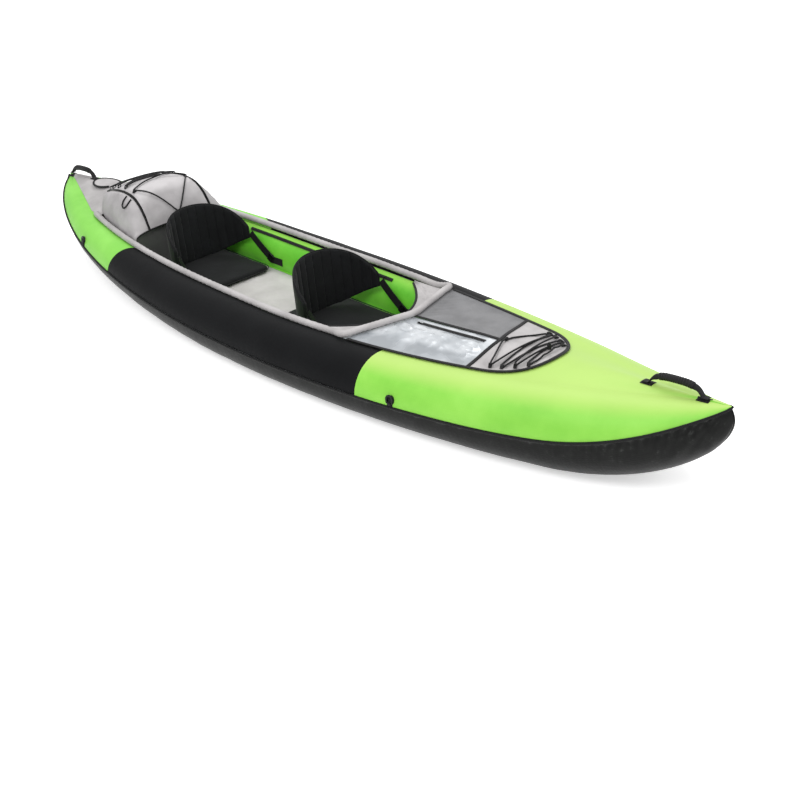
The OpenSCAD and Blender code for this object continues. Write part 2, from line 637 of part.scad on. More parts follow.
module dome_top() color(pale_grey)
    dome_panel(dome_seam_a + dome_gap_a, 180 - dome_seam_a - dome_gap_a, dome_top_points);
module dome_starboard_side() color(pale_grey) dome_panel(0, dome_seam_a - dome_gap_a, dome_side_points);
module dome_port_side() color(pale_grey) dome_panel(180 - dome_seam_a + dome_gap_a, 180, dome_side_points);
dome_piping_r = 3.5;
dome_piping_out = 3.8;
dome_front_a = 13;
module dome_piping() color(black) {
    for (b = [dome_seam_a, 180 - dome_seam_a])
        loft(tube_rings([for (x = dome_x) dome_spot(x, b, dome_piping_out)], dome_piping_r, piping_sides));
    loft(tube_rings([for (b = span(dome_front_a, 180 - dome_front_a, dome_top_points))
        dome_spot(dome_front_x, b, 0) + [dome_piping_r + layer_gap, 0, 0]], dome_piping_r, piping_sides));
}
dome_lace_shares = [0.167, 0.281, 0.406, 0.552, 0.719];
dome_lace_x = [for (k = dome_lace_shares) dome_at(k)];
dome_lace_a = 60;
dome_lace_points = 5;
function dome_tab(i, side) = [dome_lace_x[i], 90 + side * (90 - dome_lace_a)];
dome_last = len(dome_lace_x) - 1;
dome_turn_in = 70;
dome_turn_x = dome_front_x - dome_turn_in;
dome_route = concat([for (i = [0 : dome_last - 1]) each [dome_tab(i, -1), dome_tab(i, 1)]],
    [dome_tab(dome_last, -1), [dome_turn_x, 90], dome_tab(dome_last, 1)]);
dome_flat = route_points(dome_route, dome_lace_points);
dome_cord_up = dome_tab_lift + tab_size[2] + bungee_d / 2 + 4 * layer_gap;
module dome_bungee() color(black)
    loft(tube_rings([for (p = dome_flat) dome_spot(p[0], p[1], dome_cord_up)], bungee_d / 2, bungee_sides));
function dome_slope(x, b) = let (d = dome_spot(x, b + 1, 0) - dome_spot(x, b - 1, 0)) atan2(d[2], d[1]);
module dome_lace_tabs() color(black) for (i = [0 : dome_last], side = [-1, 1]) let (t = dome_tab(i, side))
    tab_at(dome_spot(t[0], t[1], dome_tab_lift), [dome_slope(t[0], t[1]), 0, 0]);
loop_x = dome_lace_x[dome_last];
loop_w = 26;
loop_drop = 14;
loop_r = 3;
loop_in = 4;
loop_turns = [[-1, 0], [-1, 0.5], [-0.7, 0.9], [0, 1.05], [0.7, 0.9], [1, 0.5], [1, 0]];
module dome_pull_loop() color(black)
    loft(tube_rings([for (p = loop_turns) dome_spot(loop_x + p[0] * loop_w / 2,
        dome_seam_a - loop_in - loop_drop * p[1], loop_r + layer_gap)], loop_r, piping_sides, [0, -1, 0]));
bulkhead_steps = 8;
bulkhead_clear = 6;
bulkhead_least = 0.05;
bulkhead_x = dome_front_x - 2 * cloth_t - layer_gap;
bulkhead_top = dome_front_z - 3 * cloth_t;
bulkhead_w = dome_w(dome_front_x) - cloth_t - bulkhead_clear;
function bulkhead_y(z) = let (h = (z - dome_base(dome_front_x)) / (dome_front_z - dome_base(dome_front_x)))
    h < 0 ? min(bulkhead_w, inboard_y(dome_front_x, z) - bulkhead_clear)
        : bulkhead_w * pow(max(bulkhead_least, 1 - pow(h, 2 / dome_full)), dome_full / 2);
bulkhead_low = floor_face(dome_front_x) + pad_t + pad_crown + 2 * layer_gap;
function bulkhead_row(k, off) = let (z = mix(bulkhead_low, bulkhead_top, k))
    [for (s = [-1, 1]) [bulkhead_x - off, s * bulkhead_y(z), z]];
module dome_bulkhead() color(tarpaulin)
    loft([for (k = span(0, 1, bulkhead_steps)) let (a = bulkhead_row(k, 0), b = bulkhead_row(k, cloth_t))
        [a[0], a[1], b[1], b[0]]]);

// Oval flap on the stern deck, hinged at its forward edge
flap_steps = 8;
flap_points = 4;
flap_lift = 1.6;
flap_mid_x = flap_hinge_x - flap_len / 2;
flap_end_w = 24;
function flap_half(x) = max(flap_end_w,
    flap_w / 2 * sqrt(max(0, 1 - pow((x - flap_mid_x) / (flap_len / 2), 2))));
function flap_row(x, up) = [for (k = span(-1, 1, flap_points))
    let (y = k * flap_half(x)) [x, y, top_z(x, y) + flap_lift + up]];
module stern_flap() color(pale_grey)
    loft([for (i = [0 : flap_steps]) let (x = flap_mid_x - flap_len / 2 * cos(180 * i / flap_steps))
        sheet_ring(flap_row(x, cloth_t), flap_row(x, 0))]);

// Seats: padded base with a ribbed wrap-round backrest hinged on it
pad_steps = 12;
pad_points = 8;
pad_round = 45;
pad_nose = 0.4;
pad_side = 0.75;
pad_hem = 2;
pad_slope = 1.8;
function pad_base(sx) = mix(floor_face(sx), floor_face(sx - pad_behind), pad_slope) + layer_gap;
function pad_end(d) = min(d, pad_len - d) / pad_round;
function pad_half(d) = pad_w / 2 - pad_round * (1 - sqrt(1 - pow(max(0, 1 - pad_end(d)), 2)));
function pad_top(d, k) = pad_t + pad_crown * (1 - k * k) * (1 - pow(2 * d / pad_len - 1, 2));
function pad_ring(sx, d) = let (x = sx - pad_behind + d, w = pad_half(d), z = pad_base(sx),
        e = min(1, pad_nose + pad_end(d)))
    concat([for (k = span(-1, 1, pad_points))
            [x, k * w, z + pad_top(d, k) * e * (abs(k) == 1 ? pad_side : 1)]],
        [for (k = span(1, -1, pad_points)) [x, k * (w - pad_hem), z]]);
module seat_pad(sx) loft([for (i = [0 : pad_steps])
    pad_ring(sx, pad_len * (1 - cos(180 * i / pad_steps)) / 2)]);

// Each row of a backrest: its shares of the height, of the foot's drop and of the thickness
back_steps = 28;
back_rows = [[0, 1, 0.25], [0, 0.55, 0.7], [0.06, 0, 1], [0.35, 0, 1], [0.65, 0, 1], [0.94, 0, 1],
    [1, 0, 0.35]];
back_lean = 5;
back_low_from = 0.36;
back_low_pow = 1.3;
back_low_bow = 0.25;
back_wing_low = 85;
back_wing_top = 110;
back_top_pow = 2.4;
back_reach = 88;
bead_gap = 0.4;
rib_depth = 4;
function hinge_z(sx) = pad_base(sx) + pad_top(pad_behind, 0) + back_t / 2 + bead_gap;
function rib(s) = rib_depth * abs(sin(180 * s * back_ribs / 2));
function back_low(s) =
    back_wing_low * pow(max(0, (abs(s) - back_low_from) / (1 - back_low_from)), back_low_pow)
    + back_low_bow * back_depth * (1 - cos(back_reach * s)) * (1 - abs(s));
function back_high(s) = back_h - back_wing_top * pow(abs(s), back_top_pow);
function back_spot(sx, s, h, off) = let (f = back_reach * s,
        n = [-cos(f) / back_depth, sin(f) / back_half_w], u = n / norm(n))
    [sx + back_depth * (1 - cos(f)) - h * tan(back_lean) + off * u[0],
        back_half_w * sin(f) + off * u[1], hinge_z(sx) + h];
function back_row_h(s, r) = mix(back_low(s), back_high(s), r[0]) - r[1] * back_t / 2;
function back_ring(sx, s) = concat(
    [for (r = back_rows) back_spot(sx, s, back_row_h(s, r), r[2] * back_t / 2)],
    [for (r = reversed(back_rows)) back_spot(sx, s, back_row_h(s, r),
        -r[2] * (back_t / 2 - rib_depth + rib(s)))]);
module backrest(sx) loft([for (s = span(-1, 1, back_steps)) back_ring(sx, s)]);
module front_seat_pad() color(black) seat_pad(front_seat_x);
module rear_seat_pad() color(black) seat_pad(rear_seat_x);
module front_backrest() color(black) backrest(front_seat_x);
module rear_backrest() color(black) backrest(rear_seat_x);

// Seat webbing from each wing down to a buckle and an anchor on the wall
strap_t = 2;
anchor_run = 150;
anchor_drop = 108;
anchor_size = [70, 34, 2];
buckle_size = [30, 40, 4];
strap_clear = 0.8;
strap_off = 10.8;
strap_sag = 6;
strap_steps = 4;
anchor_fore = 20;
slot_w = 6;
slot_at = 7;
slot_over = 1;
function wing(sx) = back_spot(sx, 1, (back_low(1) + back_high(1)) / 2, 0);
anchor_face = wall_seat + anchor_size[2];
function anchor_x(sx) = wing(sx)[0] + anchor_run;
function anchor_z(sx) = wing(sx)[2] - anchor_drop;
function wall_spot(x, z, off) = [x, inboard_y(x, z) - off, z];
function strap_path(sx) = let (w = wing(sx) + [strap_clear + strap_off, 0, 0],
        a = wall_spot(anchor_x(sx), anchor_z(sx), anchor_face + strap_clear + strap_t / 2))
    [for (k = span(0, 1, strap_steps)) mix(w, a, k) - [0, 0, strap_sag * sin(180 * k)]];
module strap_pair(sx) for (side = [0, 1]) mirror([0, side, 0])
    loft(band_rings(strap_path(sx), strap_w, strap_t, [0, -1, 0]));
module front_seat_straps() color(black) strap_pair(front_seat_x);
module rear_seat_straps() color(black) strap_pair(rear_seat_x);
module at_anchors() for (sx = [front_seat_x, rear_seat_x], side = [0, 1]) mirror([0, side, 0])
    translate(wall_spot(anchor_x(sx), anchor_z(sx), 0))
        rotate([0, 0, wall_turn(anchor_x(sx), 180)]) children();
module strap_anchors() color(black) at_anchors()
    translate([anchor_fore - anchor_size[0] / 2, -anchor_face, -anchor_size[1] / 2])
        cube([anchor_size[0], anchor_size[2], anchor_size[1]]);
module on_strap(p, d) let (w = d / norm(d), out = [0, 1, 0] - w * w[1], y = out / norm(out), z = cross(w, y))
    multmatrix([for (i = [0 : 2]) [w[i], y[i], z[i], p[i]]]) children();
module at_buckles() for (sx = [front_seat_x, rear_seat_x], side = [0, 1]) mirror([0, side, 0])
    let (p = strap_path(sx), a = p[strap_steps - 1], b = p[strap_steps])
    on_strap((a + b) / 2, b - a) children();
buckle_off = strap_t / 2 + strap_clear;
module strap_buckles() color(black) at_buckles()
    translate([0, -buckle_off, 0]) rotate([90, 0, 0]) difference() {
        translate([-buckle_size[0] / 2, -buckle_size[1] / 2, 0]) cube(buckle_size);
        for (s = [-1, 1])
            translate([s * slot_at - slot_w / 2, -strap_w / 2 - slot_over, -slot_over])
                cube([slot_w, strap_w + 2 * slot_over, buckle_size[2] + 2 * slot_over]);
    }

// Carry handles: webbing rolled at its ends, a rubber grip in the middle
bow_handle_x = half_len - bow_handle_in;
stern_handle_x = stern_handle_in - half_len;
patch_size = [44, 32, 2];
patch_lift = 0.8;
function patch_end_z(x, s) = top_z(x + s * patch_size[0] / 2, 0);
function patch_z(x) = max(top_z(x, 0), (patch_end_z(x, 1) + patch_end_z(x, -1)) / 2) + patch_lift;
function patch_tilt(x) = atan2(patch_end_z(x, 1) - patch_end_z(x, -1), patch_size[0]);
web_r = 7.5;
handle_sides = 10;
grip_share = 0.62;
handle_pow = 3.2;
hem_share = 1.1;
hem_gap = 0.01;
web_steps = 6;
grip_steps = 10;
grip_end = 0.75;
function handle_foot(hx, s) = let (x = hx + s * handle_len / 2)
    [x, 0, patch_z(x) + patch_size[2] + 2 * layer_gap + web_r];
function handle_spot(hx, s) = mix(handle_foot(hx, -1), handle_foot(hx, 1), (s + 1) / 2)
    + [0, 0, handle_h * max(0, 1 - pow(abs(s), handle_pow))];
web_ends = concat([hem_share], span(1, grip_share + hem_gap, web_steps));
module handle_web(hx) for (s = [-1, 1])
    loft(tube_rings([for (k = web_ends) handle_spot(hx, s * k)], web_r, handle_sides, [0, 1, 0]));
module handle_grip(hx) loft(tube_rings(
    [for (k = span(-grip_share, grip_share, grip_steps)) handle_spot(hx, k)],
    [for (k = span(-1, 1, grip_steps)) grip_d / 2 * (abs(k) == 1 ? grip_end : 1)], handle_sides, [0, 1, 0]));
module bow_handle() color(black) handle_web(bow_handle_x);
module bow_handle_grip() color("#1c1c1e") handle_grip(bow_handle_x);
module stern_handle() color(black) handle_web(stern_handle_x);
module stern_handle_grip() color("#1c1c1e") handle_grip(stern_handle_x);
module patch(x) translate([x, 0, patch_z(x)]) rotate([0, -patch_tilt(x), 0])
    translate([-patch_size[0] / 2, -patch_size[1] / 2, 0]) cube(patch_size);
module handle_patches() color(black) for (hx = [bow_handle_x, stern_handle_x], s = [-1, 1])
    patch(handle_foot(hx, s)[0]);

// Tie-down rings: a webbing tab that stands up from the seam, and a ring that swings from its hem
ring_rise = 18;
tab_seat = -0.7;
tab_w = 24;
tab_low = 12;
tab_high = 4;
tab_t = 2;
bar_r = 2.2;
bar_clear = 0.3;
bar_over = 2;
barrel_t = 2;
barrel_sink = 0.6;
barrel_short = 3;
cut_over = 1;
cheek_w = 5;
ring_out = bar_r + bar_clear + barrel_t + tab_t - barrel_sink;
ring_up = ring_id / 2 + ring_band;
cheek_h = ring_up - ring_id / 2 + 2 * bar_r + cut_over;
function ring_a(x) = seam_a(x) + ring_rise / tube_ry(x) * 180 / PI;
function heading(x) = wall_turn(x, ring_a(x));
function face_tilt(x) = atan2(sin(ring_a(x)) / tube_rz(x), cos(ring_a(x)) / tube_ry(x));
module at_ring(x, side) mirror([0, side, 0]) translate(skin(x, ring_a(x), tab_seat))
    rotate([0, 0, heading(x)]) rotate([face_tilt(x), 0, 0]) children();
module rod(r, len) translate([-len / 2, 0, 0]) rotate([0, 90, 0]) cylinder(r = r, h = len, $fn = 32);
module ring_tab() {
    translate([-tab_w / 2, 0, -tab_low]) cube([tab_w, tab_t, tab_low + tab_high]);
    translate([0, ring_out, 0]) difference() {
        rod(bar_r + bar_clear + barrel_t, ring_id - barrel_short);
        rod(bar_r + bar_clear, ring_id);
    }
}
module tie_ring() {
    translate([0, ring_out + ring_t / 2, ring_up]) rotate([90, 0, 0]) difference() {
        cylinder(r = ring_id / 2 + ring_band, h = ring_t, $fn = 48);
        translate([0, 0, -cut_over]) cylinder(d = ring_id, h = ring_t + 2 * cut_over, $fn = 48);
        translate([-ring_id, -2 * ring_id - ring_id / 2 + bar_r, -cut_over])
            cube([2 * ring_id, 2 * ring_id, ring_t + 2 * cut_over]);
    }
    translate([0, ring_out, 0]) rod(bar_r, ring_id + 2 * bar_over);
    for (s = [-1, 1])
        translate([s * (ring_id / 2 + bar_over) - cheek_w / 2, ring_out - ring_t / 2, -bar_r])
            cube([cheek_w, ring_t, cheek_h]);
}
module ring_tabs() color(black) for (x = [bow_ring_x, stern_ring_x], side = [0, 1])
    at_ring(x, side) ring_tab();
module bow_port_ring() color(black) at_ring(bow_ring_x, 0) tie_ring();
module bow_starboard_ring() color(black) at_ring(bow_ring_x, 1) tie_ring();
module stern_port_ring() color(black) at_ring(stern_ring_x, 0) tie_ring();
module stern_starboard_ring() color(black) at_ring(stern_ring_x, 1) tie_ring();

// Zips along the inner walls under the rim, through which the air chambers go in
zip_a = 128;
zip_seat = 1.3;
zip_slider_lift = 0.5;
zip_from = -760;
zip_to = 170;
zip_steps = 12;
zip_park_x = 120;
function zip_row(x, off) = let (da = zip_w / 2 / tube_ry(x) * 180 / PI)
    [for (a = [zip_a - da, zip_a, zip_a + da]) skin(x, a, zip_seat + off)];
module chamber_zips() color(black) for (side = [0, 1]) mirror([0, side, 0])
    loft([for (x = span(zip_from, zip_to, zip_steps)) sheet_ring(zip_row(x, zip_t), zip_row(x, 0))]);
module zip_slider() translate(skin(zip_park_x, zip_a, zip_seat + zip_t + zip_slider_lift))
    rotate([zip_a - 90, 0, 0]) slider_body();
module port_zip_slider() color(black) zip_slider();
module starboard_zip_slider() color(black) mirror([0, 1, 0]) zip_slider();

// Air valves: one on each side behind the rear backrest and one on the stern floor, each with a screw cap
valve_ahead = 100;
valve_x = dome_front_x + valve_ahead;
valve_a = 165;
valve_seat = 1.2;
floor_valve_seat = 2.2;
floor_valve_behind = 110;
floor_valve_x = dome_front_x - floor_valve_behind;
valve_flange_t = 4;
valve_neck_r = 12;
cap_h = 8;
module at_wall_valve(side) mirror([0, side, 0]) translate(skin(valve_x, valve_a, valve_seat))
    rotate([0, 0, wall_turn(valve_x, valve_a)]) rotate([valve_a - 90, 0, 0]) children();
module valve() {
    cylinder(r = valve_r, h = valve_flange_t, $fn = 48);
    cylinder(r = valve_neck_r, h = valve_flange_t + valve_neck_h, $fn = 48);
}
module valve_cap() translate([0, 0, valve_flange_t + layer_gap]) difference() {
    cylinder(r = valve_cap_r, h = valve_neck_h + cap_h, $fn = 48);
    translate([0, 0, -cut_over])
        cylinder(r = valve_neck_r + layer_gap, h = valve_neck_h + cut_over + layer_gap, $fn = 48);
}
module at_floor_valve()
    translate([floor_valve_x, 0, floor_face(floor_valve_x) + floor_valve_seat]) children();
module air_valves() color("#4a4a4c") {
    for (side = [0, 1]) at_wall_valve(side) valve();
    at_floor_valve() valve();
}
module port_valve_cap() color("#4a4a4c") at_wall_valve(0) valve_cap();
module starboard_valve_cap() color("#4a4a4c") at_wall_valve(1) valve_cap();
module floor_valve_cap() color("#4a4a4c") at_floor_valve() valve_cap();

bottom_hull();
starboard_air_chamber();
port_air_chamber();
floor_air_chamber();
starboard_mid_panel();
port_mid_panel();
starboard_inner_wall();
port_inner_wall();
bow_cover();
stern_cover();
stern_deck_panel();
seam_piping();
floor_cover();
cockpit_rim();
splash_collar();
collar_binding();
mesh_panel();
map_pocket();
map_pocket_zip();
map_zip_slider();
bow_deck_panel();
deck_binding();
bow_bungee();
bow_lace_tabs();
cord_lock_body();
cord_lock_button();
dome_top();
dome_starboard_side();
dome_port_side();
dome_piping();
dome_bungee();
dome_lace_tabs();
dome_pull_loop();
dome_bulkhead();
stern_flap();
front_seat_pad();
front_backrest();
front_seat_straps();
rear_seat_pad();
rear_backrest();
rear_seat_straps();
strap_anchors();
strap_buckles();
bow_handle();
bow_handle_grip();
stern_handle();
stern_handle_grip();
handle_patches();
ring_tabs();
bow_starboard_ring();
bow_port_ring();
stern_starboard_ring();
stern_port_ring();
chamber_zips();
starboard_zip_slider();
port_zip_slider();
air_valves();
starboard_valve_cap();
port_valve_cap();
floor_valve_cap();
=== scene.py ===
# %% [markdown]
# An inflatable kayak for two, dressed in Blender.
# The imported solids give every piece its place, and this lesson gives each one its cloth, cord or plastic.
# Most of the boat is cloth over round tubes, so most pieces start as a flat grid that is laid on a curve.

# %% Load the frame
import math

import bmesh
import bpy
from mathutils import Matrix, Vector, noise


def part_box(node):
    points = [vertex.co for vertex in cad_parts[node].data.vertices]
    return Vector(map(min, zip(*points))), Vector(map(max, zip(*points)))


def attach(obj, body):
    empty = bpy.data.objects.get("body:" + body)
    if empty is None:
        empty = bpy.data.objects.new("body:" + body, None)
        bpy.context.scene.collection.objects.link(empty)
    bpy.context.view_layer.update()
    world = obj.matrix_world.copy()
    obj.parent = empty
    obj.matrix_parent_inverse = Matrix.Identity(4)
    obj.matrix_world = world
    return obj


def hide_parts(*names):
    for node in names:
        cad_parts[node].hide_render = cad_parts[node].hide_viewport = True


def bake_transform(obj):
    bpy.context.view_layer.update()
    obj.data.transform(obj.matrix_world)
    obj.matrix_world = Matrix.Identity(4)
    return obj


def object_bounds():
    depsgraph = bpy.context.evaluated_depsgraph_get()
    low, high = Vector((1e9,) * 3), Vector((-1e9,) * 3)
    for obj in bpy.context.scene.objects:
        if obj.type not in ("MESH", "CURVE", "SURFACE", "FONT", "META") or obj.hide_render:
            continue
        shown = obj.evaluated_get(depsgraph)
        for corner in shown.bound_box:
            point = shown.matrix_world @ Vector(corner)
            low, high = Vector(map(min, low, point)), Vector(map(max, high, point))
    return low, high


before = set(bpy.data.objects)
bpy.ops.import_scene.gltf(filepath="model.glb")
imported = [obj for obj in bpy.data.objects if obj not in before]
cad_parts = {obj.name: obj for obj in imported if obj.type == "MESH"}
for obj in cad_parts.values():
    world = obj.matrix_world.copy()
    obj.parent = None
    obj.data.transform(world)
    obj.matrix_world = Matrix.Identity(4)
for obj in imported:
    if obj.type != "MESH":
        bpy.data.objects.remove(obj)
cad_low, cad_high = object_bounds()
scene = bpy.context.scene

# %% [markdown]
# The camera comes first. It stands ahead of the bow on the starboard side and looks down on the cockpit.
# Its three axes and its place were solved from points of the hull, so the frame needs no lens shift.

# %% Camera
CAMERA_PLACE = (3.33245, -2.87263, 2.12564)
CAMERA_RIGHT = (0.71788, 0.69558, -0.02860)
CAMERA_UP = (-0.32099, 0.36718, 0.87302)
CAMERA_BACK = (0.61775, -0.61754, 0.48686)
SENSOR_MM = 36.0
LENS_MM = 50.954

camera = bpy.data.objects.new("camera", bpy.data.cameras.new("camera"))
scene.collection.objects.link(camera)
camera.data.sensor_width = SENSOR_MM
camera.data.lens = LENS_MM
axes = Matrix((CAMERA_RIGHT, CAMERA_UP, CAMERA_BACK)).transposed().to_4x4()
camera.matrix_world = Matrix.Translation(CAMERA_PLACE) @ axes
scene.camera = camera
scene.view_settings.view_transform = "Standard"
print("camera at", CAMERA_PLACE, "lens", LENS_MM, "mm")

# %% [markdown]
# Every colour is written as an sRGB hex value, as a paint card gives it, and turned to linear light here.
# One small function adds a node with its settings and its links, which keeps each material short.
# A wave texture turns 20 radians per unit of its scale, which is why that number is needed here.

# %% Colour and node helpers
MM = 0.001
WAVE_RADIANS = 20


def linear(hex_colour):
    """An sRGB hex value as linear red, green, blue and alpha."""
    parts = [int(hex_colour[i:i + 2], 16) / 255 for i in (1, 3, 5)]
    return [c / 12.92 if c <= 0.04045 else ((c + 0.055) / 1.055) ** 2.4 for c in parts] + [1.0]


def add(tree, kind, links=None, sets=None, **settings):
    """Adds one node, sets its properties and sockets, and links its inputs."""
    node = tree.nodes.new(kind)
    for key, value in settings.items():
        setattr(node, key, value)
    for key, value in (sets or {}).items():
        node.inputs[key].default_value = value
    for key, output in (links or {}).items():
        tree.links.new(output, node.inputs[key])
    return node


def ramp(tree, fac, stops):
    """A colour ramp from pairs of place and hex colour."""
    node = add(tree, "ShaderNodeValToRGB", {"Fac": fac})
    while len(node.color_ramp.elements) < len(stops):
        node.color_ramp.elements.new(0.5)
    for element, (place, colour) in zip(node.color_ramp.elements, stops):
        element.position = place
        element.color = linear(colour)
    return node.outputs["Color"]


def begin(name, **sockets):
    """A new material with its shader's constant sockets set, and the coordinates that it reads."""
    material = bpy.data.materials.new(name)
    material.use_nodes = True
    tree = material.node_tree
    shader = tree.nodes["Principled BSDF"]
    for key, value in sockets.items():
        shader.inputs[key.replace("_", " ")].default_value = value
    coords = add(tree, "ShaderNodeTexCoord")
    return material, tree, shader, coords


def clouds(tree, vector, size_mm, detail=3.0, roughness=0.5):
    """Noise whose blotches are about size_mm across."""
    return add(tree, "ShaderNodeTexNoise", {"Vector": vector},
               {"Scale": 1 / (size_mm * MM), "Detail": detail, "Roughness": roughness}).outputs["Fac"]


def weave(tree, uv, thread_mm):
    """Two crossed waves, one along the cloth and one across it, as warp and weft."""
    scale = 1 / (thread_mm * MM) / WAVE_RADIANS * math.pi
    threads = []
    for direction in ("X", "Y"):
        threads.append(add(tree, "ShaderNodeTexWave", {"Vector": uv},
                           {"Scale": scale, "Distortion": 0.0},
                           bands_direction=direction).outputs["Fac"])
    return add(tree, "ShaderNodeMath", {0: threads[0], 1: threads[1]}, operation="MULTIPLY").outputs[0]


def bump(tree, shader, height, depth_mm, strength=1.0, under=None):
    """Bump of depth_mm on the shader, over another bump if there is one."""
    links = {"Height": height}
    if under:
        links["Normal"] = under
    node = add(tree, "ShaderNodeBump", links, {"Distance": depth_mm * MM, "Strength": strength})
    tree.links.new(node.outputs["Normal"], shader.inputs["Normal"])
    return node.outputs["Normal"]


print("material helpers ready")

# %% [markdown]
# The covers are coated nylon: a tight plain weave with a thin film behind it.
# The film leaves a soft sheen, and the air behind the cloth pulls it smooth except beside the seams.
# Threads of 0.4 mm are too fine to show at this size, so the weave is drawn at a few millimetres.
# A cloth can also be painted paler on its upward faces, as painted top light.

# %% Coated nylon and polyester cloth
SHOWN_THREAD_MM, CREASE_MM = 3.0, 60.0
CLOTH_STOPS, SHADE_OF_WEAVE, BUMP_SHARE = (0.30, 0.5, 0.72), 0.02, 0.6
TOP_LIGHT_FROM, TOP_LIGHT_MOST = 0.62, 0.8


def coated_cloth(name, dark, mid, light, roughness, blotch_mm=170.0, thread_mm=SHOWN_THREAD_MM, sheen=0.05,
                 weave_depth=0.12, crease_depth=1.2, specular=0.3, painted_top_light=None):
    """Woven cloth with slow colour drift, a fine weave, faint creases and, if given, painted top light on its
    upward faces.
    """
    material, tree, shader, coords = begin(name, Roughness=roughness, Sheen_Weight=sheen,
                                           Sheen_Roughness=0.4, IOR=1.5, Specular_IOR_Level=specular)
    drift = clouds(tree, coords.outputs["Object"], blotch_mm, 4.0, 0.55)
    threads = weave(tree, coords.outputs["UV"], thread_mm)
    shade = add(tree, "ShaderNodeMapRange", {"Value": threads},
                {"To Min": -SHADE_OF_WEAVE, "To Max": SHADE_OF_WEAVE}).outputs["Result"]
    both = add(tree, "ShaderNodeMath", {0: drift, 1: shade}, operation="ADD").outputs[0]
    colour = ramp(tree, both, tuple(zip(CLOTH_STOPS, (dark, mid, light))))
    # Upward faces are mixed towards a paler colour here: painted top light.
    if painted_top_light:
        facing = add(tree, "ShaderNodeSeparateXYZ", {0: add(tree, "ShaderNodeNewGeometry").outputs["Normal"]})
        share = add(tree, "ShaderNodeMapRange", {"Value": facing.outputs["Z"]},
                    {"From Min": TOP_LIGHT_FROM, "From Max": 1.0, "To Max": TOP_LIGHT_MOST},
                    interpolation_type="SMOOTHSTEP")
        lit_top = add(tree, "ShaderNodeMix", {"Factor": share.outputs["Result"], 6: colour},
                    {7: linear(painted_top_light)}, data_type="RGBA")
        colour = lit_top.outputs[2]
    tree.links.new(colour, shader.inputs["Base Color"])
    creases = clouds(tree, coords.outputs["Object"], CREASE_MM, 5.0, 0.6)
    first = bump(tree, shader, creases, crease_depth, BUMP_SHARE)
    bump(tree, shader, threads, weave_depth, BUMP_SHARE, first)
    return material


lime_nylon = coated_cloth("lime_coated_nylon", "#7cc440", "#86cc48", "#91d352", 0.5, painted_top_light="#b6d270")
# The stern's copy of the lime gets no painted top light.
stern_nylon = coated_cloth("lime_stern_nylon", "#79c648", "#83ce50", "#8dd65a", 0.5)
wall_nylon = coated_cloth("lime_wall_nylon", "#58b428", "#69c434", "#7ad042", 0.5, painted_top_light="#a2dd5a")
black_nylon = coated_cloth("black_coated_nylon", "#060709", "#090a0c", "#0d0e10", 0.64, specular=0.1)
# This charcoal is the black cloth painted lighter: painted light where the drop panel gets little light.
drop_panel_lit_nylon = coated_cloth("charcoal_nylon_painted_light", "#5c5b5c", "#646364", "#6c6b6c", 0.6, specular=0.2)
grey_polyester = coated_cloth("pale_grey_polyester", "#a4a1a1", "#b0adad", "#bcb9b9", 0.7, 90.0,
                              crease_depth=2.0)
# The dome's grey is a little darker than the pale grey, and its upward faces get painted top light.
dome_polyester = coated_cloth("dome_grey_polyester", "#979495", "#a29fa0", "#adaaab", 0.7, 90.0,
                              crease_depth=2.6, painted_top_light="#c9c6c7")
floor_polyester = coated_cloth("floor_grey_polyester", "#b0adab", "#bbb8b6", "#c6c3c1", 0.62, 120.0,
                               crease_depth=2.5)
seat_nylon = coated_cloth("black_seat_nylon", "#060709", "#0a0b0d", "#101114", 0.75, 70.0, sheen=0.1,
                          crease_depth=1.6, specular=0.2)
print("cloth:", lime_nylon.name, black_nylon.name, grey_polyester.name)

# %% [markdown]
# The bottom is PVC tarpaulin, a woven base dipped in soft plastic, so it is darker and shinier than nylon.
# It is stiff, so it breaks into small facets and creases where it turns round the nose. On top of random
# scuffs, the ridges of those creases are painted paler and their hollows darker: painted highlight and
# painted shade.
# The clear film of the map pocket is folded too. Its colour is painted lighter and darker in broad patches,
# as painted highlights and reflections, and darker along its outer edge, as painted shade. Its UV map is in
# metres, so the map says where that edge is.

# %% Tarpaulin, bladder film and clear pocket film
SCUFF_MM, BASE_THREAD_MM = 45.0, 7.0
RIDGE_FROM, RIDGE_TO, RIDGE_LIGHT_AND_SHADE = 0.465, 0.535, 0.22
FILM_FOLD_MM, FILM_RIPPLE_MM = 110.0, 60.0
FILM_EDGE_SHADE_FROM, FILM_EDGE_SHADE_TO, FILM_SHADE = 0.150, 0.195, 0.22

tarpaulin, tree, shader, coords = begin("charcoal_pvc_tarpaulin", IOR=1.53, Specular_IOR_Level=0.13)
scuffs = clouds(tree, coords.outputs["Object"], SCUFF_MM, 6.0, 0.65)
# Pointed ridges are painted paler and hollows darker: painted highlight and painted shade.
painted_crease_light = add(tree, "ShaderNodeMapRange", {"Value": add(tree, "ShaderNodeNewGeometry").outputs["Pointiness"]},
             {"From Min": RIDGE_FROM, "From Max": RIDGE_TO, "To Min": -RIDGE_LIGHT_AND_SHADE,
              "To Max": RIDGE_LIGHT_AND_SHADE}).outputs["Result"]
scuffs_and_crease_light = add(tree, "ShaderNodeMath", {0: scuffs, 1: painted_crease_light}, operation="ADD").outputs[0]
tree.links.new(ramp(tree, scuffs_and_crease_light, ((0.2, "#040505"), (0.5, "#0c0d0c"), (0.65, "#151615"), (0.95, "#484948"))),
               shader.inputs["Base Color"])
dull = add(tree, "ShaderNodeMapRange", {"Value": scuffs}, {"To Min": 0.32, "To Max": 0.5})
tree.links.new(dull.outputs["Result"], shader.inputs["Roughness"])
base_weave = weave(tree, coords.outputs["UV"], BASE_THREAD_MM)
first = bump(tree, shader, scuffs, 2.2, 0.7)
bump(tree, shader, base_weave, 0.3, 0.7, first)

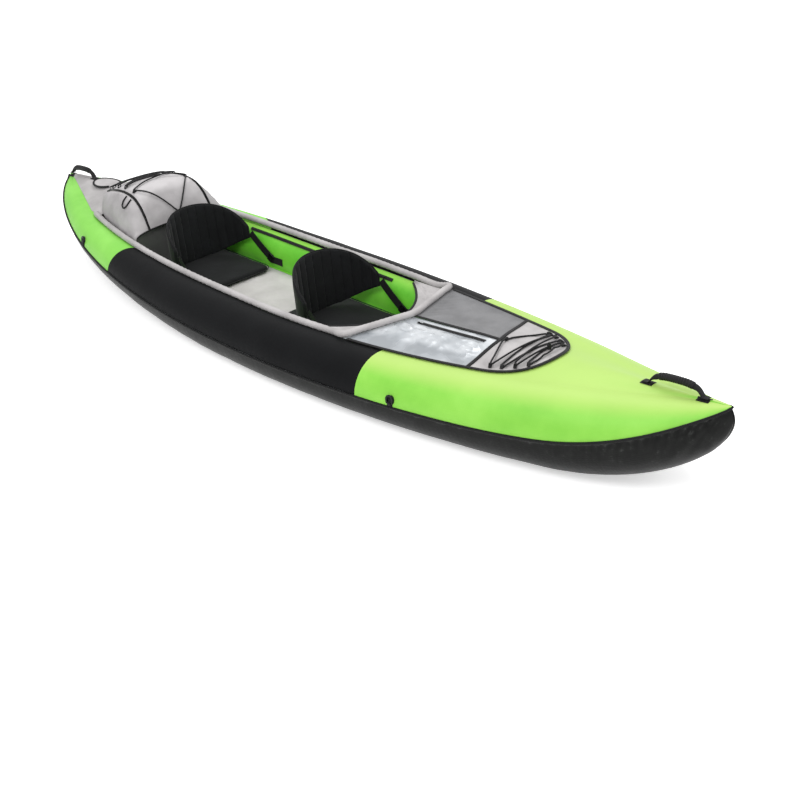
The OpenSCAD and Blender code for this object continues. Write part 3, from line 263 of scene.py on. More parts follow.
bladder_film, tree, shader, coords = begin("grey_pvc_bladder_film", Roughness=0.4, IOR=1.53)
haze = clouds(tree, coords.outputs["Object"], 120.0)
tree.links.new(ramp(tree, haze, ((0.3, "#8f9396"), (0.7, "#a9adb0"))), shader.inputs["Base Color"])
bump(tree, shader, haze, 2.0)

clear_film, tree, shader, coords = begin("clear_pvc_film", IOR=1.53, Coat_Weight=0.3, Coat_Roughness=0.22,
                                         Specular_IOR_Level=0.6, Metallic=0.12)
folds = clouds(tree, coords.outputs["Object"], FILM_FOLD_MM, 2.0, 0.5)
outwards = add(tree, "ShaderNodeSeparateXYZ", {0: coords.outputs["UV"]}).outputs["Y"]
# The band along the outer edge is painted darker: painted shade.
painted_edge_shade = add(tree, "ShaderNodeMapRange", {"Value": outwards},
            {"From Min": FILM_EDGE_SHADE_FROM, "From Max": FILM_EDGE_SHADE_TO, "To Max": FILM_SHADE},
            interpolation_type="SMOOTHSTEP").outputs["Result"]
# Colour follows the fold noise, lighter and darker in patches: painted highlights and reflections.
painted_film_light = add(tree, "ShaderNodeMath", {0: folds, 1: painted_edge_shade}, operation="SUBTRACT").outputs[0]
FILM_STOPS = ((0.16, "#8d9297"), (0.34, "#a4a9ae"), (0.5, "#c0c4c8"), (0.68, "#dcdfe2"))
tree.links.new(ramp(tree, painted_film_light, FILM_STOPS), shader.inputs["Base Color"])
gloss = add(tree, "ShaderNodeMapRange", {"Value": folds}, {"To Min": 0.2, "To Max": 0.36})
tree.links.new(gloss.outputs["Result"], shader.inputs["Roughness"])
bump(tree, shader, clouds(tree, coords.outputs["Object"], FILM_RIPPLE_MM, 1.0, 0.4), 2.0, 0.5)
print("plastics:", tarpaulin.name, bladder_film.name, clear_film.name)

# %% [markdown]
# The port half of the deck is an open mesh, knitted with small holes that let water drain.
# Real holes are about 1.5 mm across. They are drawn four times that, so that the render still shows a net.

# %% Mesh, webbing, elastic cord, rubber and moulded plastic
SHOWN_HOLE_MM = 6.0

drain_mesh, tree, shader, coords = begin("grey_polyester_mesh", Roughness=0.75, Sheen_Weight=0.2)
holes = add(tree, "ShaderNodeTexVoronoi", {"Vector": coords.outputs["UV"]},
            {"Scale": 1 / (SHOWN_HOLE_MM * MM), "Randomness": 0.12}).outputs["Distance"]
drift = clouds(tree, coords.outputs["Object"], 80.0, 4.0)
mixed = add(tree, "ShaderNodeMath", {0: drift, 1: holes}, {2: 0.12}, operation="MULTIPLY_ADD").outputs[0]
tree.links.new(ramp(tree, mixed, ((0.12, "#39393b"), (0.26, "#646466"), (0.48, "#808082"))),
               shader.inputs["Base Color"])
bump(tree, shader, holes, 1.0, 0.7)


def ribbed(name, dark, light, pitch_mm, roughness, direction="X", depth_mm=0.6, sheen=0.05):
    """Tightly ribbed narrow cloth or rubber, with ribs across its length."""
    material, tree, shader, coords = begin(name, Roughness=roughness, Sheen_Weight=sheen, IOR=1.5,
                                           Specular_IOR_Level=0.25)
    ribs = add(tree, "ShaderNodeTexWave", {"Vector": coords.outputs["UV"]},
               {"Scale": 1 / (pitch_mm * MM) / WAVE_RADIANS * math.pi * 2},
               bands_direction=direction).outputs["Fac"]
    wear = clouds(tree, coords.outputs["Object"], 25.0, 4.0)
    tone = add(tree, "ShaderNodeMath", {0: ribs, 1: wear}, operation="MULTIPLY").outputs[0]
    tree.links.new(ramp(tree, tone, ((0.05, dark), (0.6, light))), shader.inputs["Base Color"])
    bump(tree, shader, ribs, depth_mm)
    return material


webbing = ribbed("black_polypropylene_webbing", "#060607", "#121214", 4.0, 0.65)
binding_tape = ribbed("black_binding_tape", "#050506", "#0e0e10", 5.0, 0.7)
elastic_cord = ribbed("black_elastic_cord", "#050506", "#111114", 4.0, 0.6, "DIAGONAL")
grip_rubber = ribbed("black_grip_rubber", "#060607", "#101012", 9.0, 0.5, depth_mm=1.2, sheen=0.0)
zip_coil = ribbed("black_zip_coil", "#040405", "#111113", 4.0, 0.45, depth_mm=1.0, sheen=0.0)


def moulded(name, dark, light, roughness, metallic=0.0, specular=0.5):
    """Moulded plastic or cast metal with faint flow marks."""
    material, tree, shader, coords = begin(name, Metallic=metallic, IOR=1.5, Specular_IOR_Level=specular)
    marks = clouds(tree, coords.outputs["Object"], 14.0, 5.0)
    tree.links.new(ramp(tree, marks, ((0.3, dark), (0.7, light))), shader.inputs["Base Color"])
    dulled = add(tree, "ShaderNodeMapRange", {"Value": marks},
                 {"To Min": roughness - 0.08, "To Max": roughness + 0.1})
    tree.links.new(dulled.outputs["Result"], shader.inputs["Roughness"])
    bump(tree, shader, marks, 0.15)
    return material


black_acetal = moulded("black_moulded_acetal", "#060608", "#0d0d10", 0.42, specular=0.25)
grey_acetal = moulded("grey_moulded_acetal", "#3c3c3e", "#4c4c4f", 0.4)
zinc = moulded("cast_zinc", "#a2a4a6", "#bcbec0", 0.34, 1.0)
print("trim:", webbing.name, elastic_cord.name, grip_rubber.name, black_acetal.name)

# %% [markdown]
# The hull's own curves say where its skin is at any place along the boat.
# The cloth panels all ask these same functions, so neighbours meet along one seam however fine their
# grids are.

# %% Hull curves, in metres and radians
HALF_LEN = 1.910
BEAM = 0.950
TUBE_H = 0.250
BOW_RISE, STERN_RISE = 0.122, 0.088
BOW_ROCKER, STERN_ROCKER = 0.315, 0.250
BOW_SWEEP, STERN_TUBE_SWEEP, STERN_KEEL_SWEEP = (0.72, 1.9), (0.1, 1.4), (0.42, 2.2)
TIP_HALF_W = 0.004
BOW_PLAN, STERN_PLAN = (1.8, 0.62), (2.46, 0.71)
SHEER_POW = 2.2
LEAST_CREST = 0.0015
PIPING_R = 0.004
SEAM_MID, SEAM_BOW, SEAM_STERN, SEAM_POW = 0.494, 0.88, 0.95, 7.3
BOW_CROWN, STERN_CROWN = 0.022, 0.070
BOW_CROWN_FROM, BOW_CROWN_RUN, BOW_CROWN_FADE_X = 0.4, 0.5, 1.3
STERN_CROWN_FADE_X, STERN_CROWN_POW = 1.4, 0.6
CLOTH_T, COVER_T = 0.003, 0.002
LAYER_GAP = 0.0003


def lerp(a, b, k):
    return a + (b - a) * k


def span(a, b, n):
    return [lerp(a, b, i / n) for i in range(n + 1)]


def clamp(k):
    return max(0.0, min(1.0, k))


def ease(k):
    k = clamp(k)
    return k * k * (3 - 2 * k)


def along(x):
    return min(1.0, abs(x) / HALF_LEN)


def half_beam(x):
    fine, full = BOW_PLAN if x > 0 else STERN_PLAN
    return TIP_HALF_W + (BEAM / 2 - TIP_HALF_W) * max(0.0, 1 - along(x) ** fine) ** full


def sheer(x):
    return TUBE_H + (BOW_RISE if x > 0 else STERN_RISE) * along(x) ** SHEER_POW


def rocker(x, start, power, rise):
    w = clamp((along(x) - start) / (1 - start))
    return rise * (1 - (1 - w ** power) ** (1 / power))


def tube_low(x):
    return rocker(x, *BOW_SWEEP, BOW_ROCKER) if x > 0 else rocker(x, *STERN_TUBE_SWEEP, STERN_ROCKER)


def keel(x):
    return tube_low(x) if x > 0 else rocker(x, *STERN_KEEL_SWEEP, STERN_ROCKER)


def tube_rz(x):
    return (sheer(x) - tube_low(x)) / 2


def tube_ry(x):
    return min(tube_rz(x), half_beam(x) - LEAST_CREST)


def crest_y(x):
    return half_beam(x) - tube_ry(x)


def tube_zc(x):
    return (sheer(x) + tube_low(x)) / 2


def seam_a(x):
    share = SEAM_MID + ((SEAM_BOW if x > 0 else SEAM_STERN) - SEAM_MID) * along(x) ** SEAM_POW
    return math.asin(2 * share - 1)


def skin(x, a, off=0.0):
    """A point on the port tube at angle a, 0 outboard and a half turn inboard, pushed out by off."""
    return Vector((x, crest_y(x) + (tube_ry(x) + off) * math.cos(a),
                   tube_zc(x) + (tube_rz(x) + off) * math.sin(a)))


def crown(x):
    if x > 0:
        fade = max(0.0, x - BOW_CROWN_FADE_X) / (HALF_LEN - BOW_CROWN_FADE_X)
        return BOW_CROWN * clamp((x - BOW_CROWN_FROM) / BOW_CROWN_RUN) * (1 - fade ** 2)
    return STERN_CROWN * min(1.0, (HALF_LEN + x) / (HALF_LEN - STERN_CROWN_FADE_X)) ** STERN_CROWN_POW


def top_z(x, y):
    y = abs(y)
    if y < crest_y(x):
        return sheer(x) + crown(x) * (1 + math.cos(math.pi * y / crest_y(x))) / 2
    return tube_zc(x) + tube_rz(x) * math.sqrt(max(0.0, 1 - ((y - crest_y(x)) / tube_ry(x)) ** 2))


def ruffle(x, y, z, size, seed=0.0):
    """Smooth noise from -1 to 1 with waves about size metres long."""
    return noise.noise(Vector((x / size + seed, y / size, z / size - seed)))


print("hull", 2 * HALF_LEN, "m long,", BEAM, "m wide, bow", round(sheer(HALF_LEN), 3), "m high")

# %% [markdown]
# A piece of cloth is a grid with one corner at (0, 0) and the far one at (1, 1).
# Each vertex moves to the place that its panel's function gives, then the sheet gets its thickness.
# The map called weave keeps the cloth's own metres, so a thread is as wide on a large panel as on a small
# one. Round things, such as cord, tape and cushions, are grids that are rolled up and then sealed.

# %% Piece helpers
SHARP = math.radians(48)
LEAST_FILL = 0.31
LEAST_R = 0.002
soft_sizes = {}


def grid(nu, nv, place, size):
    """A grid of nu by nv faces, laid out by place(u, v), with a weave map of size metres."""
    bm = bmesh.new()
    bmesh.ops.create_grid(bm, x_segments=nu, y_segments=nv, size=0.5)
    uv = bm.loops.layers.uv.new("weave")
    for face in bm.faces:
        for loop in face.loops:
            loop[uv].uv = ((loop.vert.co.x + 0.5) * size[0], (loop.vert.co.y + 0.5) * size[1])
    for vert in bm.verts:
        vert.co = place(vert.co.x + 0.5, vert.co.y + 0.5)
    bm.normal_update()
    return bm


def to_piece(bm, name, material, body, nodes=()):
    """Turns a bmesh into a shaded object that rides on a body and stands for CAD nodes."""
    mesh = bpy.data.meshes.new(name)
    bm.to_mesh(mesh)
    bm.free()
    mesh.shade_smooth()
    mesh.set_sharp_from_angle(angle=SHARP)
    piece = bpy.data.objects.new(name, mesh)
    scene.collection.objects.link(piece)
    for one in material if isinstance(material, (list, tuple)) else [material]:
        mesh.materials.append(one)
    if body:
        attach(piece, body)
    if nodes:
        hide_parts(*nodes)
    print(name, len(mesh.polygons), "faces")
    return piece


def mirrored(bm):
    """The same bmesh on the starboard side."""
    bmesh.ops.scale(bm, vec=(1, -1, 1), verts=bm.verts)
    bmesh.ops.reverse_faces(bm, faces=bm.faces[:])
    return bm


def face_out(bm, out):
    """Turns an open sheet so that its faces look the way that out(point) says."""
    bm.normal_update()
    votes = sum(f.calc_area() * f.normal.dot(out(f.calc_center_median())) for f in bm.faces)
    if votes < 0:
        bmesh.ops.reverse_faces(bm, faces=bm.faces[:])
        bm.normal_update()
    return bm


def thicken(bm, out, thickness):
    """Gives an open sheet its thickness, inwards from the face that shows, and closes its edges."""
    bmesh.ops.remove_doubles(bm, verts=bm.verts[:], dist=1e-5)
    face_out(bm, out)
    edges = [e.verts[:] for e in bm.edges if e.is_boundary]
    back = bmesh.ops.duplicate(bm, geom=bm.verts[:] + bm.edges[:] + bm.faces[:])
    partner = back["vert_map"]
    for vert in [g for g in back["geom"] if isinstance(g, bmesh.types.BMVert)]:
        vert.co -= partner[vert].normal * thickness
    for a, b in edges:
        bm.faces.new((a, b, partner[b], partner[a]))
    bmesh.ops.recalc_face_normals(bm, faces=bm.faces[:])
    return bm


def sealed(bm):
    """Welds a rolled-up grid along its seam and closes its open ends."""
    bmesh.ops.remove_doubles(bm, verts=bm.verts[:], dist=1e-6)
    bmesh.ops.holes_fill(bm, edges=[e for e in bm.edges if e.is_boundary], sides=0)
    bmesh.ops.recalc_face_normals(bm, faces=bm.faces[:])
    return bm


def up_way(point):
    return Vector((0, 0, 1))


def tube_way(point):
    side = math.copysign(1, point.y)
    return Vector((0, side * (abs(point.y) - crest_y(point.x)), point.z - tube_zc(point.x)))


def path_length(points):
    return sum((b - a).length for a, b in zip(points, points[1:]))


def cut_size(bm, nu, nv):
    """The cut's length and width along its middle lines, and its area, before it is thickened."""
    bm.verts.ensure_lookup_table()
    row, column = nu + 1, nv + 1
    mid_v, mid_u = column // 2, row // 2
    length = path_length([bm.verts[mid_v * row + i].co for i in range(row)])
    width = path_length([bm.verts[j * row + mid_u].co for j in range(column)])
    return length, width, sum(f.calc_area() for f in bm.faces)


def cloth(name, place, nu, nv, out, material, nodes=(), body="hull",
          thickness=COVER_T, starboard=False, trim=None):
    """One panel of cloth; the size that it was cut to goes into soft_sizes."""
    trial = [[place(u, v) for u in (0.0, 0.25, 0.5, 0.75, 1.0)] for v in (0.0, 0.5, 1.0)]
    size = (sum((trial[1][i + 1] - trial[1][i]).length for i in range(4)),
            (trial[1][2] - trial[0][2]).length + (trial[2][2] - trial[1][2]).length)
    bm = grid(nu, nv, place, size)
    length, width, area = cut_size(bm, nu, nv)
    if trim:
        bmesh.ops.delete(bm, geom=[f for f in bm.faces if trim(f.calc_center_median())], context="FACES")
        area = sum(f.calc_area() for f in bm.faces)
    thicken(bm, out, thickness)
    if starboard:
        mirrored(bm)
    piece = to_piece(bm, name, material, body, nodes)
    box = max(length * width, area)
    length = length * box / (length * width)
    max(area, LEAST_FILL * box)
    soft_sizes[name] = (round(length, 3), round(width, 3), round(area, 4))
    return piece


def smooth_path(points, steps):
    """A smooth line through points, steps to each stretch (Catmull-Rom)."""
    line, last = [], len(points) - 1
    for i in range(last):
        a, b = points[max(i - 1, 0)], points[i]
        c, d = points[i + 1], points[min(i + 2, last)]
        for j in range(steps):
            t = j / steps
            line.append(0.5 * (2 * b + (c - a) * t + (2 * a - 5 * b + 4 * c - d) * t * t
                               + (3 * b - a - 3 * c + d) * t ** 3))
    return line + [points[-1].copy()]


def frames_along(path, up):
    """The way, the side and the upward axis at each point of a path."""
    axes_list = []
    for i, point in enumerate(path):
        way = (path[min(i + 1, len(path) - 1)] - path[max(i - 1, 0)]).normalized()
        side = way.cross(up(point) if callable(up) else Vector(up)).normalized()
        axes_list.append((point, side, side.cross(way)))
    return axes_list


def swept(path, section, sides, up=(0, 0, 1)):
    """A closed tube: section(t, s) gives its half width and half height at share t, at angle share s."""
    rows = frames_along(path, up)
    last = len(path) - 1

    def place(u, v):
        i = round(u * last)
        point, side, rise = rows[i]
        wide, high = section(i / last, v)
        return point + side * wide + rise * high

    wide, high = section(0.5, 0.0)
    girth = math.tau * max(abs(wide), abs(high), LEAST_R)
    return sealed(grid(last, sides, place, (path_length(path), girth)))


def round_section(radius):
    """A round section; radius is a number or a function of the share along the path."""
    def section(t, s):
        r = radius(t, s) if callable(radius) else radius
        return r * math.cos(math.tau * s), r * math.sin(math.tau * s)
    return section


def blunt(share, power):
    """A share from -1 to 1 raised to a power with its sign kept. A low power makes a circle squarer."""
    return math.copysign(abs(share) ** power, share)


def flat_section(width, thick, power):
    """A flat strap's section with soft edges."""
    def section(t, s):
        return (width / 2 * blunt(math.cos(math.tau * s), power),
                thick / 2 * blunt(math.sin(math.tau * s), power))
    return section


def joined(parts):
    """Several bmeshes as one."""
    whole = bmesh.new()
    for part in parts:
        mesh = bpy.data.meshes.new("part")
        part.to_mesh(mesh)
        part.free()
        whole.from_mesh(mesh)
        bpy.data.meshes.remove(mesh)
    return whole


def flipped(point):
    return Vector((point.x, -point.y, point.z))


print("piece helpers ready")

# %% [markdown]
# The bottom is one trough of tarpaulin from seam to seam. At the bow it swells past the seam's end into a
# blunt nose. Stiff cloth can't turn that corner smoothly, so it creases: the creases start at the seam and
# fade downwards, and they crowd together towards the tip.

# %% Bottom hull
KEEL_SHARE = 0.45
NOSE_BULGE, NOSE_POW = 0.016, 30
SEAM_SLACK, MOST_SEAM_A = 0.002, math.radians(20)
TIP_POW = 2.2
TUBE_SHARE, RAMP_SHARE = 0.72, 0.4
LOW_A, LOW_TURN_A, LOW_TURN_Z = math.radians(-78), math.radians(25), 0.060
PUCKER_PITCH, PUCKER_DEPTH, PUCKER_POW = 0.026, 0.0070, 0.6
PUCKER_FROM, PUCKER_RUN = 0.62, 0.3
FOLD_REACH, FOLD_RUN, FOLD_DEPTH = 0.30, 0.22, 0.0055
SLACK_DEPTH, BOTTOM_IN, BOTTOM_T = 0.0012, 0.0008, 0.0022


def seam_gap(x):
    return min(MOST_SEAM_A, (PIPING_R + SEAM_SLACK) / tube_ry(x))


def tip_x(u):
    """Places along the boat that crowd towards both tips."""
    k = 2 * u - 1
    return math.copysign(HALF_LEN * (1 - (1 - abs(k)) ** TIP_POW), k)


def bottom_half(x, k):
    """From the seam at 0 to the keel line at 1."""
    low_a = LOW_A + LOW_TURN_A * min(1.0, (tube_low(x) - keel(x)) / LOW_TURN_Z)
    start = seam_a(x) - 0.4 * seam_gap(x)
    if k < TUBE_SHARE:
        point = skin(x, lerp(start, low_a, k / TUBE_SHARE))
    else:
        foot = skin(x, low_a)
        flat_y = max(LEAST_CREST / 2, crest_y(x) - KEEL_SHARE * tube_ry(x))
        t = (k - TUBE_SHARE) / (1 - TUBE_SHARE)
        if t < RAMP_SHARE:
            q = t / RAMP_SHARE
            point = Vector((x, lerp(foot.y, flat_y, q), lerp(foot.z, keel(x), 1 - (1 - q) ** 2)))
        else:
            point = Vector((x, lerp(flat_y, 0.0, (t - RAMP_SHARE) / (1 - RAMP_SHARE)), keel(x)))
    if x > 0:
        point.x += NOSE_BULGE * along(x) ** NOSE_POW * math.sin(math.pi * k)
    return point


def bottom_place(u, v):
    x = tip_x(u)
    k = 1 - abs(2 * v - 1)
    point = bottom_half(x, k)
    side = -1 if v < 0.5 else 1
    point.y *= side
    near_tip = ease((along(x) - PUCKER_FROM) / PUCKER_RUN)
    run = x + 0.010 * ruffle(x, side * k, 0.0, 0.07, 24.0)
    tuck = abs(math.sin(math.pi * run / PUCKER_PITCH)) ** PUCKER_POW
    reach = 0.10 + 0.16 * abs(ruffle(x, side, 0.0, 0.03, 25.0))
    crease = -PUCKER_DEPTH * near_tip * (1 - tuck) * math.exp(-k / reach) * ease(k / 0.015)
    slack = ruffle(x * 2.0, point.y, point.z, 0.16) * SLACK_DEPTH
    slack *= ease((TUBE_SHARE - k) / 0.2) * (1 - near_tip * 0.5)
    from_tip = Vector((x - HALF_LEN, point.z - sheer(HALF_LEN)))
    turn = math.atan2(from_tip.y, from_tip.x)
    fold = ruffle(turn, 0.6 * from_tip.length * side, 0.0, 0.11, 26.0)
    fold *= FOLD_DEPTH * ease((FOLD_REACH - from_tip.length) / FOLD_RUN) * ease(k / 0.1)
    way = tube_way(point)
    if way.length > 1e-5:
        calm = ease((0.9995 - along(x)) / 0.02)
        point += way.normalized() * calm * (crease + slack + fold - BOTTOM_IN)
    return point


cloth("bottom_hull_skin", bottom_place, 440, 80, tube_way, tarpaulin, ["bottom_hull"],
      thickness=BOTTOM_T)

# %% [markdown]
# Inside the covers lie the bladders that hold the air. Nobody sees them, but they give the covers their
# shape, so they are here as plain film tubes, a little slack inside the cloth.

# %% Air bladders
BLADDER_SLACK, BLADDER_GIRTH = 0.0105, 0.78
BLADDER_END = 0.975 * HALF_LEN


def bladder(side):
    def place(u, v):
        x = lerp(-BLADDER_END, BLADDER_END, u)
        point = skin(x, math.tau * v, -min(BLADDER_SLACK, tube_ry(x) / 2))
        return Vector((x, side * max(LAYER_GAP, point.y), point.z))
    return sealed(grid(60, 32, place, (2 * BLADDER_END, BLADDER_GIRTH)))


FLOOR_STERN_X, FLOOR_BOW_X = -1.260, 1.200
FLOOR_H = 0.087
FLOOR_CHANNELS = 5
FLOOR_GROOVE = 0.010
FLOOR_SLACK = 0.005
FLOOR_MAP = (2.46, 1.0)


def inboard_y(x, z):
    return crest_y(x) - tube_ry(x) * math.sqrt(max(0.0, 1 - ((z - tube_zc(x)) / tube_rz(x)) ** 2))


def floor_top(x):
    return keel(x) + CLOTH_T + LAYER_GAP + FLOOR_H


def floor_half_w(x):
    return inboard_y(x, floor_top(x)) - FLOOR_SLACK


def floor_bladder_place(u, v):
    x = lerp(FLOOR_STERN_X, FLOOR_BOW_X, u)
    k = 1 - abs(2 * v - 1)
    dip = FLOOR_GROOVE * (1 - abs(math.sin(math.pi * FLOOR_CHANNELS * k)))
    z = floor_top(x) - dip if v < 0.5 else keel(x) + CLOTH_T + FLOOR_SLACK + dip
    return Vector((x, floor_half_w(x) * (2 * k - 1), z))


for side, name in ((1, "port"), (-1, "starboard")):
    to_piece(bladder(side), name + "_bladder", bladder_film, "hull", [name + "_air_chamber"])
to_piece(sealed(grid(60, 80, floor_bladder_place, FLOOR_MAP)), "floor_bladder", bladder_film, "hull",
         ["floor_air_chamber"])

# %% [markdown]
# The side covers are two cloths sewn end to end: black amidships, lime towards the tips. Air pulls them
# tight, so a panel is a patch of the tube's own skin. Only the last centimetres beside a seam gather, because
# thread is shorter than the cloth it holds. That gathering is a ripple that dies out away from the seam.

# %% Side panels amidships
COVER_A = math.radians(112)
PANEL_BOW_X, PANEL_STERN_X = 0.655, -0.983
PANEL_LEAN = {"starboard": 0.065, "port": 0.330}
PANEL_GAP, PANEL_IN, PANEL_WAVE = 0.0004, 0.0006, 0.0010


def gather(distance, length_along, depth, reach, pitch, seed):
    """Ripples of a given depth beside a seam, dying out over reach metres."""
    wander = 1.6 * ruffle(length_along, seed, 0.0, pitch * 4)
    swell = 0.6 + 0.4 * ruffle(length_along, seed, 3.0, pitch * 7)
    return -depth * swell * (0.5 + 0.5 * math.sin(math.tau * length_along / pitch + 3 * wander)) \
        * math.exp(-max(0.0, distance) / reach)


def side_start(x):
    return seam_a(x) + seam_gap(x)


def lay(point, out, offset):
    """Moves a point off its skin by offset."""
    return point + out.normalized() * offset


def mid_panel(lean):
    def place(u, k):
        x = lerp(PANEL_STERN_X + lean * k, PANEL_BOW_X, u)
        a = lerp(side_start(x), COVER_A, k)
        point = skin(x, a)
        girth = k * tube_ry(x) * (COVER_A - side_start(x))
        offset = gather(girth, x, 0.0011, 0.022, 0.036, 1.0)
        offset += gather(PANEL_BOW_X - x, girth, 0.0008, 0.015, 0.030, 2.0)
        offset += PANEL_WAVE * ruffle(x, point.y, point.z, 0.23, 4.0)
        return lay(point, tube_way(point), offset - PANEL_IN)
    return place


for name, lean in PANEL_LEAN.items():
    cloth(name + "_mid_panel_cloth", mid_panel(lean), 200, 40, tube_way, black_nylon,
          [name + "_mid_panel"], starboard=name == "starboard")

# %% [markdown]
# The bow cover closes over the top ahead of the deck. It is one sheet from seam to seam, and the part that
# would lie under the deck is cut away again, a hand's width inside the deck's edge.

# %% Bow cover
NOSE_X = 1.150
COVER_TUCK = 0.045
COVER_IN, TIP_CALM, CROWD_POW = 0.0004, 0.02, 1.7
UPWARD = Vector((0, 0, 1e-4))


def cover_point(x, k, y_in):
    """From the seam at 0 over the crest to y_in at 1."""
    start = side_start(x)
    arc = tube_ry(x) * (math.pi / 2 - start)
    inner = max(0.0, crest_y(x) - y_in)
    turn = arc / (arc + inner) if arc + inner > 0 else 1.0
    if k <= turn:
        return skin(x, lerp(start, math.pi / 2, k / turn))
    y = lerp(crest_y(x), y_in, (k - turn) / (1 - turn))
    return Vector((x, y, top_z(x, y)))


def bow_place(u, v):
    x = lerp(PANEL_BOW_X + PANEL_GAP, HALF_LEN, 1 - (1 - u) ** CROWD_POW)
    k = 1 - abs(2 * v - 1)
    point = cover_point(x, k, 0.0)
    girth = k * (half_beam(x) + tube_rz(x) * 0.5)
    near_tip = ease((along(x) - 0.80) / 0.2)
    offset = gather(girth, x, 0.0008 + 0.0012 * near_tip, 0.020 + 0.02 * near_tip, 0.030, 5.0)
    offset += gather(x - PANEL_BOW_X, girth, 0.0008, 0.015, 0.028, 6.0)
    offset += 0.0011 * ruffle(x, point.y if v > 0.5 else -point.y, point.z, 0.26, 7.0)
    calm = ease((HALF_LEN - x) / TIP_CALM)
    out = tube_way(point) if point.y > crest_y(x) else up_way(point)
    point = lay(point, out + UPWARD, offset * calm - COVER_IN * calm)
    return point if v > 0.5 else flipped(point)


def under_deck(point):
    return point.x < NOSE_X and abs(point.y) < crest_y(point.x) - COVER_TUCK


cloth("bow_cover_cloth", bow_place, 200, 110, up_way, lime_nylon, ["bow_cover"],
      trim=under_deck)

# %% [markdown]
# At the stern the lime sides sweep up to the tip, and a pale grey panel fills the deck between them.
# The line between the two colours follows a wedge that narrows aft.

# %% Stern cover and stern deck
STERN_SPLIT_X, STERN_TIP_X = -1.420, -1.872
WEDGE_TIP_Y, WEDGE_WIDE_Y = 0.006, 0.188
STERN_DECK_FRONT_X, STERN_TIP_IN = -1.340, 0.006
STERN_MAP = (0.98, 0.34)


def wedge_y(x):
    return min(crest_y(x) - LEAST_CREST,
               lerp(WEDGE_TIP_Y, WEDGE_WIDE_Y, min(1.0, (x - STERN_TIP_X) / (STERN_SPLIT_X - STERN_TIP_X))))


def stern_place(lean):
    def place(u, k):
        x = lerp(STERN_TIP_IN - HALF_LEN, PANEL_STERN_X - PANEL_GAP + lean * k, u ** CROWD_POW)
        if x < STERN_SPLIT_X:
            edge = max(0.0, wedge_y(x)) if x > STERN_TIP_X else 0.0
            point = cover_point(x, k, edge)
        else:
            over = skin(x, lerp(side_start(x), COVER_A, k))
            blend = ease((x - STERN_SPLIT_X) / 0.08)
            point = cover_point(x, k, wedge_y(x)).lerp(over, blend)
        girth = k * tube_rz(x) * 1.8
        near_tip = ease((along(x) - 0.85) / 0.15)
        offset = gather(girth, x, 0.0010 + 0.0008 * near_tip, 0.022, 0.032, 8.0)
        offset += gather((1 - k) * 0.2, x, 0.0008, 0.014, 0.028, 9.0)
        offset += 0.0010 * ruffle(x, point.y, point.z, 0.24, lean * 10)
        offset *= ease((HALF_LEN + x) / TIP_CALM)
        return lay(point, tube_way(point) + UPWARD, offset - COVER_IN)
    return place


halves = []
for name, lean in PANEL_LEAN.items():
    half = thicken(grid(130, 44, stern_place(lean), STERN_MAP), tube_way, COVER_T)
    halves.append(mirrored(half) if name == "starboard" else half)
stern_cloth = to_piece(joined(halves), "stern_cover_cloth", stern_nylon, "hull",
                       ["stern_cover"])


def stern_deck_place(u, v):
    x = lerp(STERN_TIP_X, STERN_DECK_FRONT_X, u)
    edge = wedge_y(x) - PANEL_GAP
    y = edge * (2 * v - 1)
    near = edge - abs(y)
    sag = 0.0016 * ruffle(x, y, 0.0, 0.07, 11.0) * ease(near / 0.05)
    return Vector((x, y, top_z(x, y) + sag + gather(near, x, 0.0010, 0.016, 0.026, 12.0)))


cloth("stern_deck_cloth", stern_deck_place, 90, 60, up_way, grey_polyester,
      ["stern_deck_panel"])

# %% [markdown]
# A cord of piping is sewn into each outer seam. It is a thin black line that shows the boat's sheer, so it
# has to run without a break from tip to tip, close against both cloths.

# %% Seam piping
PIPING_OUT, PIPING_FULL, PIPING_STEPS = 0.0015, 1.15, 240


def piping_radius(t, s):
    return min(PIPING_R * PIPING_FULL, tube_ry(tip_x(t)))


piping_x = [tip_x(i / PIPING_STEPS) for i in range(PIPING_STEPS + 1)]
piping_path = [skin(x, seam_a(x), PIPING_OUT) for x in piping_x]
strands = [swept(path, round_section(piping_radius), 12)
           for path in (piping_path, [flipped(p) for p in piping_path])]
to_piece(joined(strands), "seam_piping_cord", binding_tape, "hull", ["seam_piping"])

# %% [markdown]
# The floor's cover lies loosely on the air floor. Its five long tubes show through as soft ridges, and a few
# creases cross it where paddlers have knelt. The lime walls go down to it, with a narrow foot turned in.

# %% Floor cover and inner walls
WALL_STERN_X, WALL_BOW_X = -1.250, 1.140
WALL_A = math.radians(114)
WALL_SHARE, WALL_FOOT, WALL_FOOT_UP = 0.96, 0.010, 0.0025
FLOOR_RIDGE, FLOOR_CREASE, FLOOR_COVER_T = 0.0022, 0.0011, 0.0022
WALL_WAVE, WALL_IN, MOST_DROP = 0.0009, 0.0007, 0.9


def floor_face(x):
    return floor_top(x) + LAYER_GAP + CLOTH_T


def floor_cover_place(u, v):
    x = lerp(FLOOR_STERN_X, FLOOR_BOW_X, u)
    y = floor_half_w(x) * (2 * v - 1)
    ridge = FLOOR_RIDGE * (abs(math.sin(math.pi * FLOOR_CHANNELS * v)) - 1)
    crease = FLOOR_CREASE * ruffle(x + 0.6 * y, y, 0.0, 0.06, 13.0) - 0.0006
    rim = ease(min(v, 1 - v) / 0.05)
    return Vector((x, y, floor_face(x) + (ridge + crease) * rim))


cloth("floor_cover_cloth", floor_cover_place, 260, 60, up_way, floor_polyester, ["floor_cover"],
      thickness=FLOOR_COVER_T)


def wall_low_a(x):
    drop = (tube_zc(x) - floor_face(x) - LAYER_GAP) / tube_rz(x)
    return math.pi + math.asin(max(-MOST_DROP, min(MOST_DROP, drop)))


